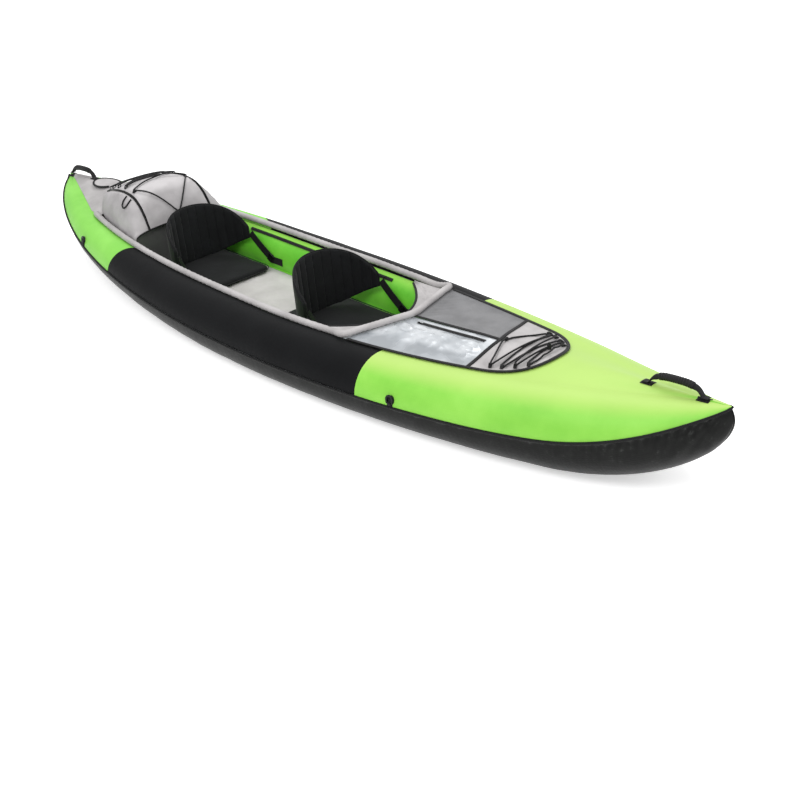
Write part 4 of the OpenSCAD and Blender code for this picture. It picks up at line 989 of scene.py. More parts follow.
def wall_place(u, v):
    x = lerp(WALL_STERN_X, WALL_BOW_X, u)
    point = skin(x, lerp(WALL_A, wall_low_a(x), min(1.0, v / WALL_SHARE)))
    point = lay(point, tube_way(point), WALL_WAVE * ruffle(x, point.z, 0.0, 0.14, 14.0) - WALL_IN)
    turned_in = max(0.0, v - WALL_SHARE) / (1 - WALL_SHARE)
    return point + Vector((0, -WALL_FOOT, WALL_FOOT_UP)) * turned_in


for name in PANEL_LEAN:
    cloth(name + "_inner_wall_cloth", wall_place, 200, 30, tube_way, wall_nylon,
          [name + "_inner_wall"], starboard=name == "starboard")

# %% [markdown]
# The cockpit's edge is a roll of foam in a sleeve of grey cloth. The sleeve is a little long for the foam,
# so it puckers all along, and more where it turns the two front corners.

# %% Cockpit rim
RIM_R = 0.014
RIM_A = math.radians(106)
RIM_CORNER_X, RIM_APEX_X, RIM_STERN_X = 0.462, 0.556, -1.335
RIM_CORNER_IN, RIM_BEND_X, RIM_TAIL = 0.008, 0.060, 0.046
RIM_TAIL_A, RIM_END = math.radians(7), 0.005
RIM_PUCKER_PITCH, RIM_PUCKER_DEPTH = 0.024, 0.0030
DECK_LIFT = 0.0014
DECK_T = CLOTH_T + DECK_LIFT


def rim_side(x):
    return skin(x, RIM_A, RIM_R + LAYER_GAP)


rim_corner_y = crest_y(RIM_CORNER_X) - RIM_CORNER_IN


def rim_front(k):
    x, y = lerp(RIM_CORNER_X, RIM_APEX_X, k), lerp(rim_corner_y, 0.0, k)
    return Vector((x, y, top_z(x, y) + DECK_T + LAYER_GAP + RIM_R))


rim_tail = skin(RIM_STERN_X - RIM_TAIL, RIM_A + RIM_TAIL_A, 0.7 * RIM_R)
rim_half = [rim_tail] + [rim_side(x) for x in span(RIM_STERN_X, RIM_CORNER_X - RIM_BEND_X, 14)]
rim_half += [rim_front(k) for k in (0.06, 0.25, 0.5, 0.75, 0.94)]
rim_path = smooth_path([flipped(p) for p in rim_half] + rim_half[::-1], 16)
rim_length = path_length(rim_path)


def rim_radius(t, s):
    """Puckers run round the roll, close together, and fade on the underside."""
    run, way = t * rim_length, math.cos(math.tau * s)
    pucker = math.sin(math.tau * run / RIM_PUCKER_PITCH + 4 * ruffle(run, way * 0.03, 0.0, 0.05, 15.0))
    swell = 0.5 + 0.5 * ruffle(run, 0.1 * way, 0.0, 0.09, 16.0)
    size = RIM_R * (0.975 + 0.035 * ruffle(run, 0.2 * way, 0.0, 0.12))
    size -= RIM_PUCKER_DEPTH * swell * (1 + pucker) / 2
    return size * max(0.3, math.sqrt(clamp((1 - abs(2 * t - 1)) / RIM_END)))


rim_roll = to_piece(swept(rim_path, round_section(rim_radius), 28), "cockpit_rim_roll", grey_polyester,
                    "hull", ["cockpit_rim"])

# %% [markdown]
# Inside the front of the rim hangs the splash collar, a sloped crescent of loose cloth with a bound edge.
# Nothing stretches it, so it keeps long creases that fan from the rim towards its free edge.

# %% Splash collar and its binding
COLLAR_X, COLLAR_DEPTH, COLLAR_SIDE_X, COLLAR_Z = 0.478, 0.190, 0.290, 0.244
COLLAR_TURN, COLLAR_SAG, COLLAR_BINDING_D, COLLAR_FAN = 0.6, 0.010, 0.008, 0.0075
COLLAR_TAPE, COLLAR_TAPE_DOWN = (0.010, 0.0075, 0.6), 0.0015


def collar_half_w(x):
    return rim_side(x).y - RIM_R


collar_inner_y = collar_half_w(COLLAR_SIDE_X) - COLLAR_BINDING_D


def collar_in(s):
    return Vector((COLLAR_X - COLLAR_DEPTH * s * s, collar_inner_y * s, COLLAR_Z))


def collar_out(s):
    k = min(1.0, abs(s) / COLLAR_TURN)
    q = max(0.0, (abs(s) - COLLAR_TURN) / (1 - COLLAR_TURN))
    x = lerp(lerp(RIM_APEX_X, RIM_CORNER_X, k), COLLAR_SIDE_X, q) - RIM_R * (1 - q)
    y = min(lerp(0.0, collar_half_w(RIM_CORNER_X - RIM_BEND_X), k),
            collar_half_w(min(x, RIM_CORNER_X - RIM_BEND_X)))
    return Vector((x, math.copysign(y, s), sheer(x) + crown(x) + DECK_T))


def collar_place(u, v):
    s = 2 * u - 1
    point = collar_out(s).lerp(collar_in(s), v)
    loose = math.sin(math.pi * v) * (1 - s * s)
    fan = ruffle(s * 0.35, v * 0.05, 0.0, 0.035, 17.0) + 0.5 * ruffle(s * 0.3, v * 0.2, 0.0, 0.02, 18.0)
    point.z += -COLLAR_SAG * loose + COLLAR_FAN * fan * math.sin(math.pi * min(1.0, v * 1.1)) - 0.001
    return point


def collar_side(s):
    return -Vector((collar_inner_y, 2 * COLLAR_DEPTH * s, 0)).normalized()


cloth("splash_collar_cloth", collar_place, 150, 36, up_way, grey_polyester, ["splash_collar"])
tape_out = COLLAR_BINDING_D / 2 + LAYER_GAP
binding_path = [collar_in(s) + collar_side(s) * tape_out - Vector((0, 0, COLLAR_TAPE_DOWN))
                for s in span(-1, 1, 120)]
to_piece(swept(binding_path, flat_section(*COLLAR_TAPE), 14), "collar_binding_tape", binding_tape, "hull",
         ["collar_binding"])

# %% [markdown]
# The bow deck has three cloths: open mesh to port, a clear map pocket to starboard and a laced grey tip.
# The pocket's film is stiff and was packed folded, so it keeps sharp crumples that catch the light. They are
# noise folded at zero, which leaves a sharp back, and they fade out where the film lies flat.

# %% Bow deck panels
DECK_TIP_X, CROSS_BAND_X = 1.245, 0.985
PORT_SKEW, STARBOARD_SKEW = 0.060, 0.024
DECK_INSET, BAND_W, DECK_ROUND = 0.020, 0.014, 0.190
MAP_ZIP_Y = 0.040
TIP_ROUND_POW = 2.6
MESH_SAG, MESH_PULL, MESH_WAVE, MESH_T = 0.004, 0.003, 0.0022, 0.0015
FOLD_HEIGHT, FOLD_SIZE, FOLD_SHARP, FILM_T = 0.0085, 0.055, 2.2, 0.0012
TIP_WAVE, TIP_RIB, TIP_RIB_PITCH = 0.0024, 0.0012, 0.0065
TIP_FROM, TIP_TO = CROSS_BAND_X + BAND_W / 2, DECK_TIP_X - BAND_W / 2


def deck_edge_y(x):
    return crest_y(x) - DECK_INSET


def deck_tip_y(x):
    k = max(0.0, (x - DECK_TIP_X + DECK_ROUND) / DECK_ROUND)
    return max(LEAST_CREST, deck_edge_y(x) * math.sqrt(max(0.0, 1 - k ** TIP_ROUND_POW)))


def rim_line_x(y):
    return lerp(RIM_APEX_X, RIM_CORNER_X, min(1.0, abs(y) / rim_corner_y))


def deck_spot(u, k, skew):
    edge_x = lerp(rim_line_x(deck_edge_y(RIM_CORNER_X)), CROSS_BAND_X - skew, u)
    y = lerp(BAND_W / 5, deck_edge_y(edge_x) - BAND_W / 4, k)
    x = lerp(rim_line_x(y), CROSS_BAND_X - skew * k - BAND_W / 4, u)
    return Vector((x, y, top_z(x, y) + DECK_T))


def cross_shift(k):
    """How far the cross band lies aft of its middle, at share k of the half width, more than 0 to port."""
    return (PORT_SKEW if k > 0 else STARBOARD_SKEW) * k


def held_edges(u, v, width):
    """From 0 at a panel's edges to 1 inside them."""
    return ease(min(u, 1 - u) / width) * ease(min(v, 1 - v) / width)


def mesh_place(u, k):
    point = deck_spot(u, k, PORT_SKEW)
    pull = ruffle(point.x - 0.8 * point.y, point.y * 0.3, 0.0, 0.03, 19.0) * ease((0.35 - u) / 0.35)
    wave = MESH_WAVE * ruffle(point.x, point.y, 0.0, 0.11, 20.0)
    point.z += (wave + MESH_PULL * pull - MESH_SAG) * held_edges(u, k, 0.12)
    return point


def crumple(x, y, size, seed):
    """Sharp-backed folds: two layers of noise folded at zero."""
    big = 1 - abs(ruffle(0.45 * x + 0.5 * y, y - 0.5 * x, 0.0, size, seed)) * FOLD_SHARP
    small = 1 - abs(ruffle(0.6 * x, y - 0.3 * x, 0.0, size * 0.45, seed + 3)) * FOLD_SHARP
    return 0.72 * big + 0.28 * small


def pocket_place(u, k):
    point = deck_spot(u, k, -STARBOARD_SKEW)
    fold = crumple(point.x, point.y, FOLD_SIZE, 21.0)
    inner = ease((0.85 - k) / 0.5) * ease((abs(point.y - MAP_ZIP_Y) - 0.009) / 0.03)
    point.z += FOLD_HEIGHT * fold * (0.12 + 0.88 * inner) * held_edges(u, k, 0.10) - 0.0015
    return flipped(point)


def tip_place(u, v):
    x = lerp(TIP_FROM, TIP_TO, 1 - (1 - u) ** TIP_POW)
    k = 2 * v - 1
    q = x - cross_shift(k) * (TIP_TO - x) / (TIP_TO - TIP_FROM)
    y = k * max(LEAST_CREST, deck_tip_y(q) - BAND_W / 2)
    puff = TIP_WAVE * ruffle(q, y, 0.0, 0.06, 23.0)
    puff += TIP_RIB * math.sin(q / TIP_RIB_PITCH) * ease(abs(k) - 0.2)
    return Vector((q, y, top_z(q, y) + DECK_T + (puff - 0.001) * held_edges(u, v, 0.1)))


cloth("mesh_deck_cloth", mesh_place, 110, 50, up_way, drain_mesh, ["mesh_panel"], thickness=MESH_T)
cloth("map_pocket_film", pocket_place, 150, 80, up_way, clear_film, ["map_pocket"],
      thickness=FILM_T)
cloth("bow_tip_cloth", tip_place, 80, 80, up_way, grey_polyester, ["bow_deck_panel"])

# %% [markdown]
# Black tape binds the deck's edge and covers the two joins between its cloths. A tape is a flat strip with
# soft edges, swept along the seam that it covers.

# %% Deck bindings
BINDING_T, BINDING_FULL_T, EDGE_STEPS = 0.0025, 0.0032, 24
BINDING_LIFT = DECK_T + 0.001


def edge_spot(x, y):
    return Vector((x, y, top_z(x, y) + BINDING_LIFT + BINDING_T / 2))


round_from = DECK_TIP_X - DECK_ROUND
edge_half = [edge_spot(x, deck_edge_y(x)) for x in span(RIM_CORNER_X + 2 * RIM_R, round_from, EDGE_STEPS)]
for i in range(1, EDGE_STEPS + 1):
    x = lerp(round_from, DECK_TIP_X, math.sin(math.pi / 2 * i / EDGE_STEPS))
    edge_half.append(edge_spot(x, 0.0 if i == EDGE_STEPS else deck_tip_y(x)))
edge_path = [flipped(p) for p in edge_half] + edge_half[-2::-1]
middle_path = [edge_spot(x, 0.0) for x in span(RIM_APEX_X - RIM_R / 4, CROSS_BAND_X - BAND_W / 2, 40)]
cross_path = []
for k in span(-1, 1, 60):
    x = CROSS_BAND_X - cross_shift(k)
    cross_path.append(edge_spot(x, k * (deck_edge_y(x) - BAND_W / 2)))
tapes = [swept(path, flat_section(BAND_W, BINDING_FULL_T, 0.5), 14)
         for path in (edge_path, middle_path, cross_path)]
to_piece(joined(tapes), "deck_binding_tapes", binding_tape, "hull", ["deck_binding"])

# %% [markdown]
# A zip is a tape with a coil down its middle and a slider that straddles the coil. The slider is its own
# piece, because it runs along the tape.

# %% Zips and sliders
MAP_ZIP_FROM, MAP_ZIP_TO = 0.612, 0.945
MAP_ZIP_LIFT, ZIP_W, ZIP_T = 0.0008, 0.016, 0.002
ZIP_A = math.radians(128)
ZIP_SEAT, ZIP_FROM, ZIP_TO = 0.0013, -0.760, 0.170
SLIDER_PARK, SLIDER_LIFT, ZIP_SLIDER_LIFT, ZIP_PARK_X = 0.020, 0.0024, 0.0005, 0.120
MAP_RUN_SHARE = 0.8
COIL_UP, COIL_W, COIL_T = 0.0008, 0.0052, 0.0024
SLIDER_BLOCKS = (((0.014, 0.009, 0.0035), 0.0012, (0, 0, 0.0018)),
                 ((0.006, 0.004, 0.0022), 0.0009, (-0.002, 0, 0.0032)),
                 ((0.026, 0.0045, 0.0014), 0.0006, (-0.019, 0, 0.0028)))


def zip_strip(path, up):
    """A tape with a raised coil along it."""
    coil_path = [p + up(p).normalized() * COIL_UP for p in path]
    return [swept(path, flat_section(ZIP_W, ZIP_T, 0.45), 12, up),
            swept(coil_path, flat_section(COIL_W, COIL_T, 0.8), 10, up)]


def map_zip_spot(x):
    return Vector((x, -MAP_ZIP_Y, top_z(x, MAP_ZIP_Y) + DECK_T + MAP_ZIP_LIFT + ZIP_T / 2))


map_strip = zip_strip([map_zip_spot(x) for x in span(MAP_ZIP_FROM, MAP_ZIP_TO, 60)], up_way)
to_piece(joined(map_strip), "map_pocket_zip_tape", zip_coil, "hull", ["map_pocket_zip"])
wall_line = [skin(x, ZIP_A, ZIP_SEAT + ZIP_T / 2) for x in span(ZIP_FROM, ZIP_TO, 90)]
wall_strips = zip_strip(wall_line, tube_way) + zip_strip([flipped(p) for p in wall_line], tube_way)
to_piece(joined(wall_strips), "chamber_zip_tapes", zip_coil, "hull", ["chamber_zips"])


def block(size, bevel, place):
    """A box with rounded edges, put where the matrix place says."""
    bm = bmesh.new()
    bmesh.ops.create_cube(bm, size=1.0)
    bmesh.ops.scale(bm, vec=size, verts=bm.verts)
    bmesh.ops.bevel(bm, geom=bm.edges[:], offset=bevel, segments=2, profile=0.5, affect="EDGES", material=-1)
    bmesh.ops.transform(bm, matrix=place, verts=bm.verts)
    return bm


def slider(place):
    """Slider body with a waist and a pull tab that lies aft of it."""
    return joined([block(size, bevel, place @ Matrix.Translation(spot))
                   for size, bevel, spot in SLIDER_BLOCKS])


map_a = map_zip_spot(MAP_ZIP_FROM)
map_b = map_zip_spot(lerp(MAP_ZIP_FROM, MAP_ZIP_TO, MAP_RUN_SHARE))
map_tilt = math.atan2(map_b.z - map_a.z, map_b.x - map_a.x)
map_place = Matrix.Translation(map_a + Vector((SLIDER_PARK, 0, ZIP_T / 2 + SLIDER_LIFT))) \
    @ Matrix.Rotation(-map_tilt, 4, "Y")
to_piece(slider(map_place), "map_zip_slider_body", zinc, "map_zip_slider", ["map_zip_slider"])
zip_place = Matrix.Translation(skin(ZIP_PARK_X, ZIP_A, ZIP_SEAT + ZIP_T + ZIP_SLIDER_LIFT)) \
    @ Matrix.Rotation(ZIP_A - math.pi / 2, 4, "X")
to_piece(slider(zip_place), "port_zip_slider_body", black_acetal, "port_zip_slider",
         ["port_zip_slider"])
to_piece(mirrored(slider(zip_place)), "starboard_zip_slider_body", black_acetal, "starboard_zip_slider",
         ["starboard_zip_slider"])

# %% [markdown]
# Elastic cord laces the tip. It starts and ends in a knot at the cross band, zigzags from tab to tab to the
# tip and comes back by the other tabs. Where two runs cross, the second passes over the first. A smooth line
# through the tabs gives the round turns.

# %% Bow lacing
LACE_X = (1.078, 1.118, 1.158, 1.192)
LACE_IN, TAB_LIFT, TAB_T = 0.031, 0.002, 0.003
BUNGEE_D, CORD_SHOWN_R = 0.005, 0.0034
CORD_LOCK_X, LACE_TURN_Y = 1.204, 0.030
LACE_START_X, LACE_START_Y = 1.006, 0.006
LACE_BOW = ((0.0065, 0.030), (0.0024, 0.012), (0.0015, 0.0005))
LACE_TURN_R, LACE_STEPS = 0.0085, 3
KNOT_HALF, KNOT_R, KNOT_LUMP = 0.010, 0.0036, 0.0008
LOOP_TURN_A = math.radians(60)
LOOP_OUTLINE_MM = ((11, 0.8), (4, 0.8), (-4, 0.9), (-7.5, 2.2), (-8.5, 5), (-6.5, 8.2), (-1, 9.3), (4, 7.6),
                   (8, 4), (11.2, 2.1))
BUNGEE_UP = TAB_LIFT + TAB_T + BUNGEE_D / 2 + 2 * LAYER_GAP
CROSS_LIFT = 2 * CORD_SHOWN_R + LAYER_GAP


def lace_tab(i, side):
    return LACE_X[i], side * (deck_tip_y(LACE_X[i]) - LACE_IN)


def on_deck(x, y, up):
    return Vector((x, y, top_z(x, y) + DECK_T + up))


def hairpin(x, y, side, heading):
    """The three points of a cord that turns back at a tab, and how far it is lifted there."""
    return [(x - heading * LACE_TURN_R, y - side * 2 * LACE_TURN_R, 0.6),
            (x, y + side * LACE_TURN_R / 2, 1.0),
            (x + heading * LACE_TURN_R, y - side * 2 * LACE_TURN_R, 0.6)]


def slack_run(route, steps):
    """Points along a laced route: lifted at the tabs and lying on the cloth between them."""
    line = []
    for a, b in zip(route, route[1:]):
        for j in range(steps):
            k = j / steps
            x, y, lift = (lerp(p, q, k) for p, q in zip(a, b))
            line.append((x, y, lift * (1 - math.sin(math.pi * k))))
    return line + [route[-1]]


lace_route = [(LACE_START_X + x, LACE_START_Y + y, 0.0) for x, y in LACE_BOW[::-1]]
for i, side in enumerate((1, -1, 1, -1)):
    lace_route += hairpin(*lace_tab(i, side), side, 1)
lace_route += [(CORD_LOCK_X, -LACE_TURN_Y, 1.0), (CORD_LOCK_X, LACE_TURN_Y, 1.0)]
for i, side in ((3, 1), (2, -1), (1, 1), (0, -1)):
    lace_route += hairpin(*lace_tab(i, side), side, -1)
lace_route += [(LACE_START_X + x, LACE_START_Y - y, 0.0) for x, y in LACE_BOW]
lace_flat = slack_run(lace_route, LACE_STEPS)
over_from = lace_flat.index((CORD_LOCK_X, -LACE_TURN_Y, 1.0))
lace_points = [on_deck(x, y, lerp(CORD_SHOWN_R, BUNGEE_UP, lift) + clamp((i - over_from) / 4) * CROSS_LIFT)
               for i, (x, y, lift) in enumerate(lace_flat)]
lace_path = smooth_path(lace_points, 5)


def knot_radius(t, s):
    arch = math.sin(math.pi * t)
    lumps = KNOT_LUMP * math.cos(2 * math.tau * (s + 1.5 * t))
    return (CORD_SHOWN_R + KNOT_R * arch + lumps) * math.sqrt(clamp(4 * arch))


knot_path = [on_deck(LACE_START_X + 0.001, LACE_START_Y + y, CORD_SHOWN_R + CROSS_LIFT / 2)
             for y in span(-KNOT_HALF, KNOT_HALF, 24)]
lace_parts = [swept(lace_path, round_section(CORD_SHOWN_R), 12),
              swept(knot_path, round_section(knot_radius), 16)]
to_piece(joined(lace_parts), "bow_lacing", elastic_cord, "hull", ["bow_bungee"])
print("bow lacing", round(path_length(lace_path), 2), "m long")


def tab_loop(place):
    """A short webbing loop: out along the deck, up round the cord and back. X points to the deck's edge."""
    path = smooth_path([Vector((x * MM, 0, z * MM)) for x, z in LOOP_OUTLINE_MM], 4)
    bm = swept(path, flat_section(0.0013, 0.012, 0.5), 10, (0, 1, 0))
    bmesh.ops.transform(bm, matrix=place, verts=bm.verts)
    return bm


tabs = []
for i in range(len(LACE_X)):
    for side in (-1, 1):
        x, y = lace_tab(i, side)
        tabs.append(tab_loop(Matrix.Translation(on_deck(x, y, TAB_LIFT))
                             @ Matrix.Rotation(side * LOOP_TURN_A, 4, "Z")))
to_piece(joined(tabs), "bow_lace_loops", webbing, "hull", ["bow_lace_tabs"])

# %% [markdown]
# The cord lock is a small moulded barrel with a sprung button in its top. Both are turned shapes: half an
# outline, spun round the middle line.

# %% Cord lock
LOCK_R, LOCK_H, BUTTON_R, BUTTON_UP = 0.008, 0.020, 0.0045, 0.007
BARREL = ((0, 0), (0.0066, 0), (0.0076, 0.0008), (LOCK_R, 0.003), (LOCK_R, 0.0085), (0.0072, 0.0105),
          (LOCK_R, 0.0125), (LOCK_R, 0.017), (0.0074, 0.0192), (0.0062, LOCK_H), (0.0049, LOCK_H),
          (0.0048, 0.0092), (0, 0.0092))
BUTTON = ((0, 0), (0.0041, 0), (BUTTON_R, 0.0006), (BUTTON_R, 0.0115), (0.0038, 0.0134), (0.002, 0.014),
          (0, 0.014))


def turned(outline, place, steps=40):
    """Spins an outline of radius and height round Z. It starts and ends on the axis, so it is closed."""
    last = len(outline) - 1

    def spun(u, v):
        r, z = outline[round(u * last)]
        return place @ Vector((r * math.cos(math.tau * v), r * math.sin(math.tau * v), z))

    return sealed(grid(last, steps, spun, (LOCK_H, math.tau * LOCK_R)))


lock_seat = on_deck(CORD_LOCK_X, 0.0, BUNGEE_UP + BUNGEE_D / 2 + CROSS_LIFT + LAYER_GAP)
lock_place = Matrix.Translation(lock_seat)
to_piece(turned(BARREL, lock_place), "cord_lock_barrel", black_acetal, "hull",
         ["cord_lock_body"])
button_low = LOCK_H - BUTTON_UP + LAYER_GAP
button = [(r, button_low + z) for r, z in BUTTON]
to_piece(turned(button, lock_place), "cord_lock_plunger", black_acetal, "cord_lock_button",
         ["cord_lock_button"])

# %% [markdown]
# Over the stern stowage sits a domed cover: a laced top between two side panels, with piping in the seams.
# It has no air behind it, only soft luggage space, so the cloth is a little slack between its seams.

# %% Domed stern cover
DOME_FRONT_X, DOME_AFT_X, DOME_Z, DOME_FRONT_Z = -0.950, -1.430, 0.475, 0.318
DOME_SEAM_A = math.radians(52)
DOME_GAP_A = math.radians(2)
DOME_INSET, DOME_TAPER, DOME_TAIL, DOME_DRAW_IN, DOME_FULL = 0.005, 0.75, 0.050, 0.4, 0.76
DOME_AFT_POW, DOME_FRONT_POW, DOME_AFT_SHARE = 1.6, 3.2, 0.6
DOME_SAG, DOME_LOOSE, DOME_FRONT_LOOSE, DOME_WRINKLE = 0.003, 0.0030, 0.0032, 0.0022
DOME_PIPING_R, DOME_PIPING_OUT = 0.0035, 0.0038
DOME_HEM_A, DOME_MID_Z = math.radians(13), 0.25


def dome_at(share):
    return lerp(DOME_AFT_X, DOME_FRONT_X, share)


DOME_PEAK_X, DOME_TAPER_X = dome_at(0.604), dome_at(0.375)


def dome_w(x):
    k = max(0.0, (DOME_TAPER_X - x) / (DOME_TAPER_X - DOME_AFT_X + DOME_TAIL))
    side = rim_side(max(x, RIM_STERN_X)).y - RIM_R - DOME_INSET - max(0.0, RIM_STERN_X - x) * DOME_DRAW_IN
    return side * math.sqrt(1 - DOME_TAPER * k * k)


def dome_base(x):
    return top_z(x, dome_w(x)) + LAYER_GAP + CLOTH_T


def dome_drop(x):
    """From 0 at the dome's peak to 1 at its front hem."""
    return (x - DOME_PEAK_X) / (DOME_FRONT_X - DOME_PEAK_X)


def dome_apex(x):
    end_z = sheer(DOME_AFT_X) + crown(DOME_AFT_X) + 2 * CLOTH_T
    if x < DOME_PEAK_X:
        return lerp(DOME_Z, end_z, ((DOME_PEAK_X - x) / (DOME_PEAK_X - DOME_AFT_X)) ** DOME_AFT_POW)
    return lerp(DOME_Z, DOME_FRONT_Z, dome_drop(x) ** DOME_FRONT_POW)


def dome_spot(x, b, off=0.0):
    """A point on the dome at angle b, 0 to starboard and a half turn to port."""
    base = dome_base(x)
    return Vector((x, -(dome_w(x) + off) * blunt(math.cos(b), DOME_FULL),
                   base + (dome_apex(x) - base + off) * abs(math.sin(b)) ** DOME_FULL))


def dome_x(u):
    """Places from aft to front that crowd where the dome drops at its front."""
    if u < DOME_AFT_SHARE:
        return lerp(DOME_AFT_X, DOME_PEAK_X, u / DOME_AFT_SHARE)
    fore = (u - DOME_AFT_SHARE) / (1 - DOME_AFT_SHARE)
    return lerp(DOME_PEAK_X, DOME_FRONT_X, math.sin(math.pi / 2 * fore))


def dome_panel(b0, b1, seed):
    def place(u, v):
        x, b = dome_x(u), lerp(b0, b1, v)
        point = dome_spot(x, b)
        edge = min(v, 1 - v) * abs(b1 - b0) * 0.2
        loose = DOME_LOOSE + DOME_FRONT_LOOSE * ease(dome_drop(x))
        off = -DOME_SAG * math.sin(math.pi * v) + loose * ruffle(x, point.y, point.z, 0.075, seed)
        off += DOME_WRINKLE * (1 - abs(ruffle(x, point.y * 0.6, point.z, 0.05, seed + 9.0)) * 2)
        off = off * held_edges(u, v, 0.08) + gather(edge, x, 0.0014, 0.016, 0.024, seed)
        return dome_spot(x, b, off)
    return place


def dome_way(point):
    return Vector((0, point.y, point.z - DOME_MID_Z))


DOME_PARTS = (("dome_top", DOME_SEAM_A + DOME_GAP_A, math.pi - DOME_SEAM_A - DOME_GAP_A, 110, 84),
              ("dome_starboard_side", 0.0, DOME_SEAM_A - DOME_GAP_A, 110, 44),
              ("dome_port_side", math.pi - DOME_SEAM_A + DOME_GAP_A, math.pi, 110, 44))
for seed, (name, b0, b1, nu, nv) in enumerate(DOME_PARTS):
    cloth(name + "_cloth", dome_panel(b0, b1, 31.0 + seed), nu, nv, dome_way, dome_polyester,
          [name])
seam_lines = [[dome_spot(dome_x(u), b, DOME_PIPING_OUT) for u in span(0, 1, 90)]
              for b in (DOME_SEAM_A, math.pi - DOME_SEAM_A)]
front_arc = [dome_spot(DOME_FRONT_X, b) + Vector((DOME_PIPING_R + LAYER_GAP, 0, 0))
             for b in span(DOME_HEM_A, math.pi - DOME_HEM_A, 60)]
cords = [swept(line, round_section(DOME_PIPING_R), 10) for line in seam_lines + [front_arc]]
to_piece(joined(cords), "dome_piping_cords", binding_tape, "hull", ["dome_piping"])

# %% [markdown]
# The dome's own lacing crosses its top in five turns, from loop to loop beside the seams. It runs down to the
# front hem, up again, and back over itself to the fourth loop. A cord loop on the starboard seam opens the
# cover, and a dark panel hangs in front of it.

# %% Dome lacing, loops and drop panel
DOME_TAB_LIFT, DOME_LACE_A = 0.0054, math.radians(60)
DOME_LACE_X = [dome_at(k) for k in (0.167, 0.281, 0.406, 0.552, 0.719)]
DOME_TURN_X = DOME_FRONT_X - 0.010
DOME_CORD_LOW, DOME_STEPS, DOME_LOOP_UP = 0.0065, 8, 0.0018
PULL_TURNS = ((-1, 0), (-1, 0.5), (-0.7, 0.9), (0, 1.05), (0.7, 0.9), (1, 0.5), (1, 0))
PULL_W, PULL_R, PULL_FROM_DEG, PULL_DEG = 0.040, 0.0036, 4, 17
PAD_T, PAD_CROWN = 0.022, 0.007
DROP_CLEAR, DROP_SWAY, DROP_BACK = 0.006, 0.003, 0.0015
DOME_CORD_UP = DOME_TAB_LIFT + TAB_T + BUNGEE_D / 2 + 4 * LAYER_GAP


def dome_tab(i, side):
    return DOME_LACE_X[i], math.pi / 2 + side * (math.pi / 2 - DOME_LACE_A)


dome_route = [(*dome_tab(i, side), 1.0) for i in range(4) for side in (-1, 1)]
dome_route += [(*dome_tab(4, -1), 1.0), (DOME_TURN_X, math.pi / 2, 0.0), (*dome_tab(4, 1), 1.0)]
dome_route.append((DOME_LACE_X[3] + 2 * CORD_SHOWN_R, dome_tab(3, -1)[1], 1.0))
dome_flat = slack_run(dome_route, DOME_STEPS)
dome_points = []
for i, (x, b, lift) in enumerate(dome_flat):
    over = clamp(1 - (len(dome_flat) - 1 - i) / DOME_STEPS)
    steep = ease(dome_drop(x))
    up = lerp(DOME_CORD_LOW, DOME_CORD_UP, max(lift, steep)) + CROSS_LIFT * math.sin(math.pi * over)
    dome_points.append(dome_spot(x, b, up))
dome_lace_path = smooth_path(dome_points, 6)
to_piece(swept(dome_lace_path, round_section(CORD_SHOWN_R), 12), "dome_lacing", elastic_cord, "hull",
         ["dome_bungee"])
print("dome lacing", round(path_length(dome_lace_path), 2), "m long")

loops = []
for i in range(len(DOME_LACE_X)):
    for side in (-1, 1):
        x, b = dome_tab(i, side)
        rise = dome_spot(x, b + 0.02) - dome_spot(x, b - 0.02)
        run = dome_spot(x + 0.005, b) - dome_spot(x - 0.005, b)
        across = rise.normalized() * side
        normal = run.cross(rise).normalized()
        if normal.z < 0:
            normal = -normal
        place = Matrix((across, normal.cross(across), normal)).transposed().to_4x4()
        loops.append(tab_loop(Matrix.Translation(dome_spot(x, b, DOME_LOOP_UP)) @ place))
to_piece(joined(loops), "dome_lace_loops", webbing, "hull", ["dome_lace_tabs"])

pull_points = [dome_spot(DOME_LACE_X[-1] + p * PULL_W / 2,
                         DOME_SEAM_A - math.radians(PULL_FROM_DEG + PULL_DEG * q), PULL_R + LAYER_GAP)
               for p, q in PULL_TURNS]
to_piece(swept(smooth_path(pull_points, 10), round_section(PULL_R), 12, (0, -1, 0)), "dome_pull_cord",
         elastic_cord, "hull", ["dome_pull_loop"])

drop_x = DOME_FRONT_X - 2 * CLOTH_T - LAYER_GAP
drop_top = DOME_FRONT_Z - 3 * CLOTH_T
drop_w = dome_w(DOME_FRONT_X) - CLOTH_T - DROP_CLEAR
drop_low = floor_face(DOME_FRONT_X) + PAD_T + PAD_CROWN + 2 * LAYER_GAP


def drop_y(z):
    h = (z - dome_base(DOME_FRONT_X)) / (DOME_FRONT_Z - dome_base(DOME_FRONT_X))
    if h < 0:
        return min(drop_w, inboard_y(DOME_FRONT_X, z) - DROP_CLEAR)
    return drop_w * max(0.05, 1 - h ** (2 / DOME_FULL)) ** (DOME_FULL / 2)


def drop_place(u, v):
    z = lerp(drop_low, drop_top, v)
    y = drop_y(z) * (2 * u - 1)
    sway = DROP_SWAY * ruffle(y, z * 0.35, 0.0, 0.05, 41.0) * held_edges(u, v, 0.1)
    return Vector((drop_x + sway - DROP_BACK, y, z))


# The drop panel's charcoal cloth carries painted light.
cloth("stern_drop_panel", drop_place, 70, 40, lambda p: Vector((1, 0, 0)), drop_panel_lit_nylon,
      ["dome_bulkhead"])

# %% [markdown]
# On the stern deck lies an oval flap, hinged along its forward edge. Its cloth is two layers with a bound
# rim.

